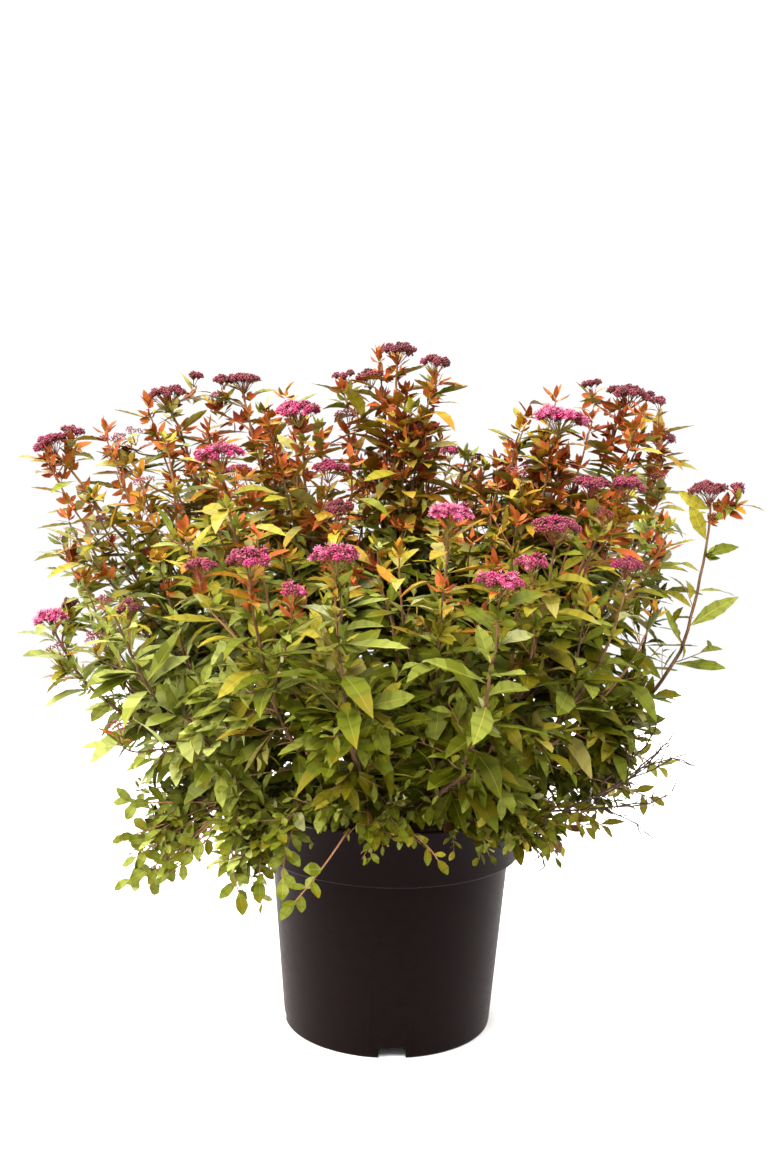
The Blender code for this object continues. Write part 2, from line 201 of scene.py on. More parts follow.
# Sweep carries the shoot outward at its foot and lets it rise steeply under its tip
def boughPoint(name, t):
    tip, sweep, _ = shoots[name]
    tip, start = Vector(tip), stool[name]
    flat = Vector((tip.x - start.x, tip.y - start.y, 0))
    rise = Vector((0, 0, tip.z - start.z))
    low = start + flat * (1 / 3 + 0.42 * sweep) + rise * (1 / 3 - 0.13 * sweep)
    high = tip - flat * (1 / 3 - 0.33 * sweep) - rise * (1 / 3 + 0.27 * sweep)
    return cubic(start, low, high, tip, t)


stool = stoolPlaces()

# Share of the side growth that a shoot goes without; above a half its leaves stand singly and alternate
spareShoots = {"right_high": 0.75, "left_high": 0.20, "right_low": 0.4}

# Leaf tints in linear colour, each with its blush, its neighbour in a spray and its rib
palette = {
    "rust": ((0.255, 0.056, 0.013), "bronze", "ember", "redRib"),
    "ember": ((0.295, 0.078, 0.016), "amber", "rust", "redRib"),
    "wine": ((0.180, 0.030, 0.014), "rust", "rust", "redRib"),
    "bronze": ((0.245, 0.112, 0.008), "rust", "amber", "redRib"),
    "amber": ((0.238, 0.156, 0.016), "bronze", "gold", "paleRib"),
    "gold": ((0.208, 0.180, 0.044), "amber", "olive", "paleRib"),
    "olive": ((0.200, 0.170, 0.014), "gold", "spring", "paleRib"),
    "moss": ((0.098, 0.082, 0.003), "leaf", "olive", "greenRib"),
    "lime": ((0.255, 0.280, 0.072), "spring", "spring", "paleRib"),
    "spring": ((0.142, 0.158, 0.022), "leaf", "leaf", "paleRib"),
    "leaf": ((0.086, 0.098, 0.006), "moss", "spring", "greenRib"),
    # The darkest green, dealt to leaves deep in the crown and at its shaded centre: painted shade
    "deep": ((0.048, 0.052, 0.001), "leaf", "leaf", "greenRib"),
    "silver": ((0.270, 0.275, 0.110), "spring", "leaf", "paleRib"),
    "dead": ((0.085, 0.042, 0.018), "dead", "dead", "redRib"),
}
ribs = {"paleRib": (0.290, 0.250, 0.044), "redRib": (0.270, 0.110, 0.028), "greenRib": (0.165, 0.160, 0.022)}
woods = {"twigTan": (0.200, 0.092, 0.046), "twigRed": (0.190, 0.056, 0.034), "twigBrown": (0.085, 0.040, 0.022),
         "twigGreen": (0.230, 0.170, 0.045), "twigDead": (0.030, 0.016, 0.010)}
blossoms = {"maroonDark": (0.066, 0.010, 0.012), "maroon": (0.122, 0.017, 0.021), "plum": (0.150, 0.017, 0.037),
            "magenta": (0.225, 0.012, 0.060), "pink": (0.345, 0.022, 0.103), "dullPink": (0.190, 0.052, 0.060),
            "stamen": (0.460, 0.150, 0.250)}
# Roughness and specular level
finishes = {"blade": (0.50, 0.07), "vein": (0.48, 0.07), "wood": (0.66, 0.14), "blossom": (0.55, 0.3),
            "floor": (0.9, 0.1)}
# Vein bands take this share of their blade's colour: painted shade in the grooves along the veins
paintedVeinShade = 0.80


def setInputs(node, values):
    for socket, value in values.items():
        node.inputs[socket].default_value = value


def plainMaterial(name, colour, finish):
    material = bpy.data.materials.new(name)
    material.use_nodes = True
    roughness, specular = finishes[finish]
    setInputs(material.node_tree.nodes["Principled BSDF"],
              {"Base Color": (*colour, 1), "Roughness": roughness, "Specular IOR Level": specular})
    return material


# Blades, then ribs, then the darker bands along the veins, whose darkness is painted shade of the vein grooves
def leafMaterials():
    blades = {name: tint[0] for name, tint in palette.items()}
    made = [plainMaterial("leaf_" + name, colour, "blade") for name, colour in {**blades, **ribs}.items()]
    for name, colour in blades.items():
        made.append(plainMaterial("veinGrooveShade_" + name, [c * paintedVeinShade for c in colour], "vein"))
    return made


bladeIndex = {name: k for k, name in enumerate(palette)}
ribIndex = {name: len(palette) + k for k, name in enumerate(ribs)}
woodIndex = {name: k for k, name in enumerate(woods)}
blossomIndex = {name: k for k, name in enumerate(blossoms)}
veinShift = len(palette) + len(ribs)
bladePart, ribPart, veinPart, blushPart = range(4)

leafTraits = ("rows", "base", "point", "half", "teeth", "slant", "rib", "wave", "fold", "droop", "twist", "stalk",
              "ribbed")
leafShapes = {kind: dict(zip(leafTraits, traits)) for kind, traits in {
    "long": (10, 0.72, 1.05, 0.158, 0.060, 0.15, 0.007, 0.005, 0.32, 0.14, 0.30, 0.07, True),
    "broad": (8, 0.68, 0.88, 0.190, 0.060, 0.15, 0.007, 0.005, 0.28, 0.12, 0.25, 0.07, True),
    "small": (6, 0.72, 0.74, 0.250, 0.030, 0.10, 0.009, 0.004, 0.25, 0.10, 0.25, 0.10, True),
    "young": (3, 0.70, 1.00, 0.205, 0.06, 0.08, 0.012, 0.006, 0.50, -0.10, 0.2, 0.05, False),
    "inner": (4, 0.75, 1.00, 0.215, 0.03, 0.10, 0.011, 0.0, 0.25, 0.12, 0.25, 0.07, False),
}.items()}
noBlush = (2, 2)
blushPlaces = (noBlush, (0.60, 1.0), noBlush, (0.30, 0.62), noBlush, (0.45, 0.80), noBlush, (0.72, 1.0))
variantCount = len(blushPlaces)
placed = {kind: [[] for _ in range(variantCount)] for kind in leafShapes}


# A leaf of unit length along +Y, its face towards +Z
def leafTemplate(shape):
    rows, ribbed, fullRib, droop = shape["rows"], shape["ribbed"], shape["rib"], shape["droop"]
    verts, faces, kinds = [], [], []
    peak = shape["base"] / (shape["base"] + shape["point"])
    norm = peak ** shape["base"] * (1 - peak) ** shape["point"]
    for i in range(rows + 1):
        y = (i + (0.44 if ribbed and i % 2 else 0)) / rows
        y = 0.45 * y + 0.55 * (1 - math.cos(math.pi * y)) / 2
        inside, zigzag = 0 < i < rows, 1 if i % 2 else -1
        wide = shape["half"] * (y ** shape["base"] * max(1 - y, 0) ** shape["point"]) / norm
        edgeY = y + shape["slant"] * (1 - y) * inside
        rib = fullRib * (1 - 0.75 * y)
        edge = (wide * (1 + shape["teeth"] * zigzag * inside) + rib, edgeY, 1)
        turn = shape["twist"] * y
        middle = ((-1, rib, y, 0), (1, rib, y, 0)) if ribbed else ((1, 0, y, 0),)
        for side, x, along, z in ((-1, *edge), *middle, (1, *edge)):
            px, pz = side * x, z * (shape["fold"] * wide + shape["wave"] * zigzag * inside)
            px, pz = px * math.cos(turn) - pz * math.sin(turn), px * math.sin(turn) + pz * math.cos(turn)
            verts.append((px + shape["sickle"] * along * along, along * (1 - 0.3 * abs(droop) * along),
                          pz - droop * along * along))
    across = 4 if ribbed else 3
    for i in range(rows):
        a, b = across * i, across * (i + 1)
        blushes = shape["blush"][0] <= (i + 0.5) / rows < shape["blush"][1]
        # Odd rows are thin vein bands, darker as painted shade of the grooves
        blade = blushPart if blushes else veinPart if ribbed and i % 2 else bladePart
        for k in range(across - 1):
            faces.append((a + k, a + k + 1, b + k + 1, b + k))
            kinds.append(ribPart if ribbed and k == 1 else blade)
    foot, stalk = len(verts), shape["stalk"]
    verts += [(side * fullRib * 0.8, -stalk, -stalk * 0.2) for side in either]
    faces.append((foot, foot + 1, across - 2, across - 3) if ribbed else (foot, foot + 1, 2, 0))
    kinds.append(ribPart)
    return {"verts": np.array(verts), "faces": np.array(faces), "kinds": np.array(kinds)}


def leafVariants(kind):
    rng = random.Random(len(kind) * 31 + 5)
    made = []
    for k in range(variantCount):
        shape = dict(leafShapes[kind])
        shape["blush"] = (0, 0.3) if kind == "young" and k % 2 else blushPlaces[k]
        shape["droop"] += rng.uniform(-0.18, 0.32)
        shape["fold"] *= rng.uniform(0.4, 1.7)
        shape["twist"] *= rng.uniform(-2.2, 2.2)
        shape["half"] *= rng.uniform(0.82, 1.15)
        shape["sickle"] = rng.uniform(-0.10, 0.10)
        made.append(leafTemplate(shape))
    return made


# Inside this part of the crown the leaves are plain ones
innerCrown = {"centre": (0, 0, 0.38), "half": (0.24, 0.21, 0.17), "edge": 0.62}


def addLeaf(rng, kind, base, along, facing, length, tint, zone):
    side = along.cross(facing)
    if side.length < 1e-4:
        side = along.cross(Vector((0.3, 0.7, 0.64)))
    side.normalize()
    facing = side.cross(along)
    depth = math.sqrt(sum(((b - c) / h) ** 2 for b, c, h in zip(base, innerCrown["centre"], innerCrown["half"])))
    if kind in ("long", "broad") and depth < innerCrown["edge"]:
        kind = "inner"
    leaf = (base, side * length, along * length, facing * length, tint, zone)
    placed[kind][rng.randrange(variantCount)].append(leaf)


# Meshes gathered as arrays: points, and faces with a material index each
def newBag():
    return {"verts": [], "faces": [], "tints": [], "count": 0}


def addPart(bag, verts, faces, tints):
    bag["verts"].append(verts)
    bag["faces"].append(faces + bag["count"])
    bag["tints"].append(tints)
    bag["count"] += len(verts)


def meshFromBag(name, bag, materials):
    verts = np.concatenate(bag["verts"]).astype(np.float32)
    groups = {}
    for faces, tints in zip(bag["faces"], bag["tints"]):
        groups.setdefault(faces.shape[1], []).append((faces, tints))
    loops, totals, indices = [], [], []
    for corners, parts in groups.items():
        faces = np.concatenate([p[0] for p in parts])
        loops.append(faces.ravel())
        totals.append(np.full(len(faces), corners))
        indices.append(np.concatenate([p[1] for p in parts]))
    loops, totals, indices = np.concatenate(loops), np.concatenate(totals), np.concatenate(indices)
    mesh = bpy.data.meshes.new(name)
    mesh.vertices.add(len(verts))
    mesh.vertices.foreach_set("co", verts.ravel())
    mesh.loops.add(len(loops))
    mesh.loops.foreach_set("vertex_index", loops.astype(np.int32))
    mesh.polygons.add(len(totals))
    mesh.polygons.foreach_set("loop_start", (np.cumsum(totals) - totals).astype(np.int32))
    mesh.polygons.foreach_set("loop_total", totals.astype(np.int32))
    mesh.polygons.foreach_set("material_index", indices.astype(np.int32))
    mesh.polygons.foreach_set("use_smooth", np.full(len(totals), True))
    for material in materials:
        mesh.materials.append(material)
    mesh.update(calc_edges=True)
    mesh.validate()
    piece = bpy.data.objects.new(name, mesh)
    bpy.context.scene.collection.objects.link(piece)
    return piece


def addTube(bag, points, radii, sides, tint, capped=False):
    count = len(points)
    side = Vector((0.13, 0.97, 0.21)).cross(points[1] - points[0])
    ring = []
    for k, point in enumerate(points):
        ahead = (points[min(k + 1, count - 1)] - points[max(k - 1, 0)]).normalized()
        side = (side - ahead * side.dot(ahead)).normalized()
        across = ahead.cross(side)
        ring += [point + between(side, across, 2 * math.pi * n / sides) * radii[k] for n in range(sides)]
    faces = []
    for k in range(count - 1):
        for n in range(sides):
            m = (n + 1) % sides
            faces.append((k * sides + n, k * sides + m, (k + 1) * sides + m, (k + 1) * sides + n))
    verts = np.array(ring)
    addPart(bag, verts, np.array(faces), np.full(len(faces), tint))
    if capped:
        fan = [(n - sides, (n + 1) % sides - sides, 0) for n in range(sides)]
        addPart(bag, np.array([np.mean(verts[-sides:], axis=0)]), np.array(fan), np.full(sides, tint))


canes, twigs, stalks, buds, petals = (newBag() for _ in range(5))


# A limb as a line of points with its running length
def makeLine(points):
    lengths = [0.0]
    for a, b in zip(points, points[1:]):
        lengths.append(lengths[-1] + (b - a).length)
    return {"points": points, "lengths": lengths, "total": lengths[-1]}


def onLine(line, s):
    lengths, points = line["lengths"], line["points"]
    s = max(0.0, min(s, line["total"]))
    k = 0
    while k < len(lengths) - 2 and lengths[k + 1] < s:
        k += 1
    span = max(lengths[k + 1] - lengths[k], 1e-9)
    share = (s - lengths[k]) / span
    return points[k].lerp(points[k + 1], share), (points[k + 1] - points[k]).normalized()


def spin(axis, angle):
    start = axis.cross(Vector((0.2, 0.1, 0.97)))
    if start.length < 1e-3:
        start = axis.cross(Vector((1, 0, 0)))
    start.normalize()
    return start * math.cos(angle) + axis.cross(start) * math.sin(angle)


def outwardOf(point):
    flat = Vector((point.x, point.y, 0))
    return flat.normalized() if flat.length > 1e-4 else Vector((0, -1, 0))


def smooth(low, high, value):
    t = max(0.0, min(1.0, (value - low) / (high - low)))
    return t * t * (3 - 2 * t)


# Leaf colour dealt out by spray: amber and bronze at the top, olive below, green lower down. The dark tints inside the
# crown are painted shade, and the darker centre and lighter left side are painted shade and painted light.
# Height, share of warm tints, share of olive ones
tintBands = ((0.24, 0.00, 0.08), (0.38, 0.01, 0.14), (0.43, 0.04, 0.34), (0.48, 0.28, 0.50), (0.52, 0.74, 0.22),
             (0.58, 0.96, 0.04), (0.70, 0.96, 0.04))


def sprayTint(rng, point):
    depth = math.hypot(point.x, point.y)
    # Deep in the middle of the crown and low down, the darkest tints stand for shade: painted shade
    if rng.random() < 0.8 * smooth(0.19, 0.08, depth) * smooth(0.46, 0.36, point.z):
        return "deep" if rng.random() < 0.75 else "leaf"
    heights, *shares = zip(*tintBands)
    warm, olive = (float(np.interp(point.z, heights, share)) for share in shares)
    olive += 0.36 * smooth(-0.02, 0.12, point.x) * smooth(0.40, 0.30, point.z)
    # Darker tints towards the centre and lighter ones on the left, where the key light falls: painted shade and
    # painted light
    paintedShade = smooth(-0.14, -0.02, point.x) * smooth(0.50, 0.36, point.z)
    paintedLight = smooth(-0.10, -0.20, point.x) * smooth(0.60, 0.46, point.z)
    kind, pick = rng.random(), rng.random()
    if kind < warm:
        return "amber" if pick < 0.46 else "gold" if pick < 0.58 else "bronze" if pick < 0.84 else "olive"
    if kind < warm + olive:
        return "moss" if pick < 0.22 + 0.5 * paintedShade - 0.2 * paintedLight else "olive" if pick < 0.92 else "gold"
    pick += 0.40 * paintedLight - 0.48 * paintedShade
    return "lime" if pick > 0.83 else "spring" if pick > 0.42 else "leaf" if pick > -0.02 else "deep"


def nearTint(rng, tint):
    if tint in ("leaf", "spring", "olive") and rng.random() < 0.04:
        return "silver"
    return palette[tint][2] if rng.random() < 0.28 else tint


# A limb that bends between four control points, as a tube of twigs. Of two woods, the first is the likelier
def growLimb(rng, controls, steps, jog, thick, taper, sides, *woodNames):
    points = [cubic(*controls, k / steps) for k in range(steps + 1)]
    if jog:
        points = jogged(rng, points, jog)
    wood = woodNames[0] if len(woodNames) == 1 or rng.random() < 0.6 else woodNames[1]
    addTube(twigs, points, [thick - taper * k / steps for k in range(steps + 1)], sides, woodIndex[wood])
    return makeLine(points)


def jogged(rng, points, amount):
    made = []
    for k, point in enumerate(points):
        ease = min(1, k / 3, (len(points) - 1 - k) / 2)
        wander = noise.noise_vector(point * 22 + Vector((amount * 900, 0, 0))) * amount * ease
        made.append(point + wander + scatter(rng, either, either, 0) * amount * 0.16 * ease)
    return made


# Young leaves: how many, their angle from the stem, and how much wider the lowest ones stand
tuftLook = {"leaves": (6, 10), "spread": (12, 48), "wider": 30, "stem": 0.35, "sizes": (0.50, 1.0)}


# Small upright tuft of young leaves in a leaf's axil
def growTuft(rng, base, axis, size, tint, zone):
    count = rng.randrange(*tuftLook["leaves"])
    turn = rng.random() * fullTurn
    for k in range(count):
        turn += goldenTurn
        spread = math.radians(rng.uniform(*tuftLook["spread"]) + tuftLook["wider"] * (1 - k / count))
        along = between(axis, spin(axis, turn), spread).normalized()
        facing = (axis - along * axis.dot(along)) * -1 + spin(axis, turn) * -0.6 + upward * 0.3
        start = base + axis * size * tuftLook["stem"] * k / count
        length = size * rng.uniform(*tuftLook["sizes"])
        addLeaf(rng, "young", start, along, facing, length, nearTint(rng, tint), zone)


sprigLook = {"bend": 0.16, "thick": 0.00045, "thickened": 0.006, "step": 0.34, "angle": (46, 72),
             "sizes": (0.75, 1.15), "redFrom": 0.72, "redSize": 0.62, "tuft": 0.019}


def growSprig(rng, base, direction, length, leafLength, kind, tint, tipTint, zone, droop=0.0):
    bend = scatter(rng, either, either, (-0.4, 1.0)) * length * sprigLook["bend"]
    end = base + direction * length + bend + Vector((0, 0, -droop * length))
    middle = base + direction * length * 0.5 + bend * 0.3
    line = makeLine([base.lerp(middle, t).lerp(middle.lerp(end, t), t) for t in (0, 0.25, 0.5, 0.75, 1)])
    thick = sprigLook["thick"] + sprigLook["thickened"] * length
    wood = "twigRed" if tipTint in ("rust", "ember", "wine") else "twigTan"
    addTube(twigs, line["points"], [thick * (1 - 0.5 * k / 4) for k in range(5)], 3, woodIndex[wood])
    step = leafLength * sprigLook["step"]
    s = step * 0.9
    turn = rng.random() * fullTurn
    while s < line["total"] + 1e-4:
        point, ahead = onLine(line, s)
        turn += goldenTurn + rng.uniform(-0.3, 0.3)
        share = s / max(line["total"], 1e-6)
        angle = math.radians(rng.uniform(*sprigLook["angle"]) - 22 * share)
        along = (between(ahead, spin(ahead, turn), angle) + upward * 0.12).normalized()
        facing = upward * 0.9 + outwardOf(point) * 0.35 + scatter(rng, either, either, 0) * 0.35
        size = leafLength * rng.uniform(*sprigLook["sizes"]) * (1 - 0.35 * share)
        if tipTint and share > sprigLook["redFrom"]:
            addLeaf(rng, "young", point, along, facing, size * sprigLook["redSize"], tipTint, zone)
        else:
            addLeaf(rng, kind, point, along, facing, size, nearTint(rng, tint), zone)
        s += step * rng.uniform(0.8, 1.2)
    if tipTint:
        growTuft(rng, *onLine(line, line["total"]), min(leafLength * 0.6, sprigLook["tuft"]), tipTint, zone)


shootLook = {"leaf": 0.060, "shorter": 0.017, "step": (0.0085, 0.0135), "angle": (54, 82), "spareAngle": (26, 74),
             "newTint": 0.30, "tuft": (0.014, 0.023), "sprig": (0.018, 0.042), "longer": 0.030,
             "sprigLeaf": (0.024, 0.038)}
spareTints = ("olive", "moss", "leaf", "olive")
redTints = ("rust", "rust", "rust", "ember", "wine", "ember")


# Leaves, tufts and side sprigs along a shoot
def dressShoot(rng, line, start, zone, vigour=1.0, spare=0.0):
    s, total, single = start, line["total"], spare > 0.5
    turn = rng.random() * fullTurn
    shootTint, flip = None, 1
    while s < total - 0.005:
        point, ahead = onLine(line, s)
        fromTip = total - s
        if shootTint is None or rng.random() < shootLook["newTint"]:
            shootTint = rng.choice(spareTints) if single else sprayTint(rng, point)
        turn += goldenTurn + rng.uniform(-0.35, 0.35)
        radial = spin(ahead, turn)
        if single:
            flip = -flip
            radial = scatter(rng, flip, (-0.6, 0.3), 0.25)
            radial = (radial - ahead * radial.dot(ahead)).normalized()
        near = smooth(0.075, 0.008, fromTip)
        angle = math.radians(rng.uniform(*shootLook["spareAngle" if single else "angle"]) - 26 * near)
        along = between(ahead, radial, angle)
        high = smooth(0.40, 0.50, point.z)
        along.z *= 0.75 - 0.35 * high
        along.normalize()
        facing = upward * (1 + 0.5 * high) + outwardOf(point) * rng.uniform(-0.1, 0.35)
        facing += scatter(rng, either, either, 0) * 0.28
        if single:
            facing = scatter(rng, either, (-1, -0.1), (0.1, 1.2))
        length = shootLook["leaf"] - shootLook["shorter"] * near - 0.012 * spare
        length = length * rng.uniform(0.74 - 0.28 * spare, 1.12) * vigour
        kind = "long" if point.z > 0.40 or rng.random() < 0.5 else "broad"
        addLeaf(rng, kind, point + radial * 0.0015, along, facing, length, nearTint(rng, shootTint), zone)
        warm, someRed = smooth(0.46, 0.61, point.z), smooth(0.41, 0.47, point.z)
        axil = (ahead * 0.8 + radial * 0.75).normalized()
        roll, redTint = rng.random(), rng.choice(redTints)
        if fromTip < 0.14 * (1 - 0.4 * spare) and roll < 0.36 + 0.26 * warm:
            tint = redTint if rng.random() < 0.20 * someRed + 0.70 * warm else shootTint
            growTuft(rng, point, axil, rng.uniform(*shootLook["tuft"]), tint, zone)
        elif fromTip > 0.022 and roll < (0.55 + 0.40 * smooth(0.08, 0.16, fromTip)) * (1 - spare):
            shortest, longest = shootLook["sprig"]
            tipTint = redTint if rng.random() < 0.10 * someRed + 0.65 * warm else None
            longest += shootLook["longer"] * smooth(0.10, 0.26, fromTip)
            growSprig(rng, point, axil, rng.uniform(shortest, longest), rng.uniform(*shootLook["sprigLeaf"]),
                      "long" if rng.random() < 0.7 else "broad", nearTint(rng, shootTint), tipTint, zone)
        s += rng.uniform(*shootLook["step"]) * (1 + 0.9 * spare) * (1 - 0.14 * smooth(0.52, 0.60, point.z))


# Corymb: a stalk that fans into small domes of round buds, some of them open.
# Tints, fullness, share of open flowers, size of a bud
headLooks = {
    "tight": (["maroonDark", "maroon", "maroon", "plum"], 1.0, 0.0, 0.00132),
    "bud": (["maroon", "plum", "plum", "magenta"], 1.0, 0.0, 0.00134),
    "bright": (["plum", "magenta", "magenta", "pink", "maroon"], 1.0, 0.08, 0.00136),
    "open": (["magenta", "magenta", "pink", "pink", "plum"], 1.0, 0.45, 0.00130),
    "dull": (["dullPink", "maroon", "dullPink", "plum"], 0.7, 0.0, 0.00100),
}
headShape = {"dome": 0.60, "below": 0.012, "cell": 0.0054, "thinCell": 0.0072, "buds": (14, 21),
             "budReach": (0.0032, 0.0048), "sunk": 0.0014, "heart": 0.0037, "flower": (0.0022, 0.0030)}
headPlaces = []


def growHead(rng, top, axis, width, look):
    tints, fill, openShare, budSize = headLooks[look]
    full, dome, sunk = fill > 0.9, headShape["dome"], headShape["sunk"]
    radius = width / 2
    side = spin(axis, 0.3)
    across = axis.cross(side)
    crown = top - axis * (headShape["below"] + radius * dome)
    domes = max(4, int((radius / headShape["cell" if full else "thinCell"]) ** 2 * 1.25))
    stretch = rng.uniform(0.85, 1.2)
    for k in range(domes):
        out = radius * 0.88 * math.sqrt((k + 0.5) / domes)
        angle = k * goldenTurn + rng.uniform(-0.25, 0.25)
        place = crown + side * math.cos(angle) * out * stretch + across * math.sin(angle) * out / stretch
        place += axis * (radius * dome + 0.0085 - 0.30 * out * out / radius + rng.uniform(-0.0030, 0.0022))
        lift = place - crown
        knot = crown + lift * 0.60
        addTube(stalks, [crown, crown.lerp(knot, 0.5) - axis * 0.0006, knot], [0.00055, 0.00045, 0.0004], 3,
                woodIndex["twigGreen" if look in ("open", "bright") else "twigRed"])
        outward = (lift.normalized() + axis * 0.3).normalized()
        count = int(rng.uniform(*headShape["buds"]) * fill)
        tint = rng.choice(tints)
        # A larger bud sunk in the middle of each dome, in a dark tint: painted shade between the buds
        if full:
            heartShadeTint = "maroonDark" if look in ("tight", "bud") else "maroon"
            headPlaces.append(("bud", place - outward * sunk, outward, headShape["heart"], heartShadeTint))
        for n in range(count):
            tilt = 1.45 * math.sqrt((n + 0.5) / count)
            ray = between(outward, spin(outward, n * goldenTurn + k), tilt)
            bud = place + ray * rng.uniform(*headShape["budReach"]) - outward * sunk
            own = tint if rng.random() < 0.6 else rng.choice(tints)
            if rng.random() < openShare:
                headPlaces.append(("flower", bud, ray, rng.uniform(*headShape["flower"]), own))
            else:
                headPlaces.append(("bud", bud, ray, budSize * rng.uniform(0.75, 1.25), own))
            if n % 4 == 0:
                addTube(stalks, [knot, bud], [0.00024, 0.0002], 3, woodIndex["twigRed"])


def leavesUnderHead(rng, crown, axis, zone):
    turn = rng.random() * fullTurn
    for k in range(rng.randrange(4, 7)):
        turn += goldenTurn
        radial = spin(axis, turn)
        base = crown - axis * (0.003 + 0.0045 * k)
        along = (axis * rng.uniform(0.35, 0.9) + radial).normalized()
        tint = rng.choice(["olive", "bronze", "amber", "rust", "gold", "olive"])
        addLeaf(rng, "long", base, along, upward + radial * -0.3, rng.uniform(0.014, 0.026), tint, zone)


def region(point):
    side = ("Back" if point.y > 0 else "Front") + ("Left" if point.x < 0 else "Right")
    return side + ("High" if point.z > 0.43 else "Low")


print("growing shoots")
caneLook = {"foot": 0.0031, "tip": 0.0011, "uneven": 0.10, "steps": 34, "sides": 9, "bareFoot": 0.24}
shootLines = {}
for number, name in enumerate(shoots):
    rng = random.Random(100 + number)
    steps = caneLook["steps"]
    points = jogged(rng, [boughPoint(name, k / steps) for k in range(steps + 1)], 0.004)
    radii = [(caneLook["foot"] + (caneLook["tip"] - caneLook["foot"]) * (k / steps))
             * (1 + caneLook["uneven"] * noise.noise(points[k] * 190)) for k in range(steps + 1)]
    addTube(canes, points, radii, caneLook["sides"], 0)
    line = shootLines[name] = makeLine(points)
    dressShoot(rng, line, line["total"] * caneLook["bareFoot"], region(points[-1]), 1.0, spareShoots.get(name, 0))

print("growing flower heads")
usedTip = set()
for number, (name, x, y, z, width, look) in enumerate(flowerHeads):
    rng = random.Random(500 + number)
    top = Vector((x / 1000, y / 1000, z / 1000 + 0.005))
    line = shootLines[name]
    tip = line["points"][-1]
    width = width / 1000
    below = top - upward * (0.010 + width * 0.27)
    if (tip - top).length < 0.020 and name not in usedTip:
        usedTip.add(name)
        axis = (onLine(line, line["total"])[1] + upward * 0.8).normalized()
        growHead(rng, top, axis, width, look)
        leavesUnderHead(rng, tip, axis, region(top))
        continue
    apart = math.hypot(top.x - tip.x, top.y - tip.y)
    satellite = apart < 0.045 and width < 0.030
    wanted = top.z - (rng.uniform(0.034, 0.050) if satellite else rng.uniform(0.075, 0.11) + 0.35 * apart)
    s = line["total"] * 0.35
    while s < line["total"] * 0.97 and onLine(line, s)[0].z < wanted:
        s += 0.004
    base, ahead = onLine(line, s)
    reach = (below - base).length
    lean = ahead + (below - base).normalized()
    controls = (base, base + lean * reach * 0.22, below - upward * reach * 0.34, below)
    branch = growLimb(rng, controls, 12, 0.003, 0.0013, 0.0006, 6, "twigTan" if z > 500 else "twigBrown")
    dressShoot(rng, branch, 0.014, region(top), 0.86)
    axis = ((branch["points"][-1] - branch["points"][-3]).normalized() + upward).normalized()
    growHead(rng, top, axis, width, look)
    leavesUnderHead(rng, below, axis, region(top))

print("growing leafy shoots without flowers")


def crownHeight(x, y):
    total = weight = 0
    for tip, _, _ in shoots.values():
        share = 1 / ((tip[0] - x) ** 2 + (tip[1] - y) ** 2 + 0.0006)
        total += share * tip[2]
        weight += share
    return total / weight


leafyShoots = {"count": 58, "wide": 0.285, "deep": 0.250, "lower": (0.010, 0.110), "steps": 16,
               "foot": (0.25, 0.42)}
extraTips = (
    (-300, -55, 548), (-350, -30, 588), (-322, -70, 530), (-262, -5, 566), (-235, -20, 605),
    (34, 20, 668), (-83, 30, 615), (-135, 40, 622), (-200, 60, 610), (-140, 50, 634), (200, 40, 632),
    (163, 50, 652), (250, 25, 618), (90, 40, 580), (-117, 20, 650), (-302, 20, 611), (132, 30, 634),
    (150, 20, 610), (122, 0, 622), (-22, 30, 690), (246, 10, 640), (-262, 50, 636), (-338, -20, 500),
    (168, 20, 592), (-310, -60, 470), (264, -30, 534), (100, -20, 566), (262, -80, 530),
    (250, -100, 450), (228, 0, 588), (262, -40, 505), (6, 30, 655), (69, 20, 592), (12, -10, 640),
    (-195, -120, 315),
)
for number in range(leafyShoots["count"] + len(extraTips)):
    rng = random.Random(700 + number)
    if number < leafyShoots["count"]:
        angle = number * goldenTurn
        reach = math.sqrt((number + 0.5) / leafyShoots["count"])
        x, y = leafyShoots["wide"] * reach * math.cos(angle), leafyShoots["deep"] * reach * math.sin(angle)
        tip = Vector((x, y, crownHeight(x, y) - rng.uniform(*leafyShoots["lower"])))
    else:
        tip = Vector(mm(*extraTips[number - leafyShoots["count"]]))
    host = min(shootLines, key=lambda n: (shootLines[n]["points"][20] - tip * 0.75).length)
    line = shootLines[host]
    base, ahead = onLine(line, line["total"] * rng.uniform(*leafyShoots["foot"]))
    reach = (tip - base).length
    controls = (base, base + (ahead + outwardOf(tip) * 0.4) * reach * 0.30,
                tip - (upward * 0.8 + outwardOf(tip) * 0.3) * reach * 0.34, tip)
    branch = growLimb(rng, controls, leafyShoots["steps"], 0.003, 0.0019, 0.0011, 6, "twigTan", "twigBrown")
    dressShoot(rng, branch, branch["total"] * 0.30, region(tip), 0.92)
    growTuft(rng, tip, upward, 0.020, rng.choice(["rust", "bronze", "olive", "ember"]), region(tip))

print("growing side branches")
limbPlaces = [onLine(line, line["total"] * k / 34) for line in shootLines.values() for k in range(4, 24)]


def nearestLimb(rng, target):
    best = None
    for point, ahead in limbPlaces:
        cost = (target - point).length + (0.10 if target.z - point.z < -0.02 else 0) + rng.uniform(0, 0.02)
        if best is None or cost < best[0]:
            best = (cost, point, ahead)
    return best[1:]


# Side branches, which carry leaves along their last 75 to 120 mm
bodyLooks = {
    "belly": {"twigs": 20, "kind": "broad", "leaf": (0.034, 0.054), "step": 0.0105, "droop": 0, "side": 0.30,
              "inset": 0.010},
    "skirt": {"twigs": 22, "kind": "small", "leaf": (0.017, 0.031), "step": 0.0085, "droop": 0.10, "side": 0.42,
              "inset": 0.004},
}


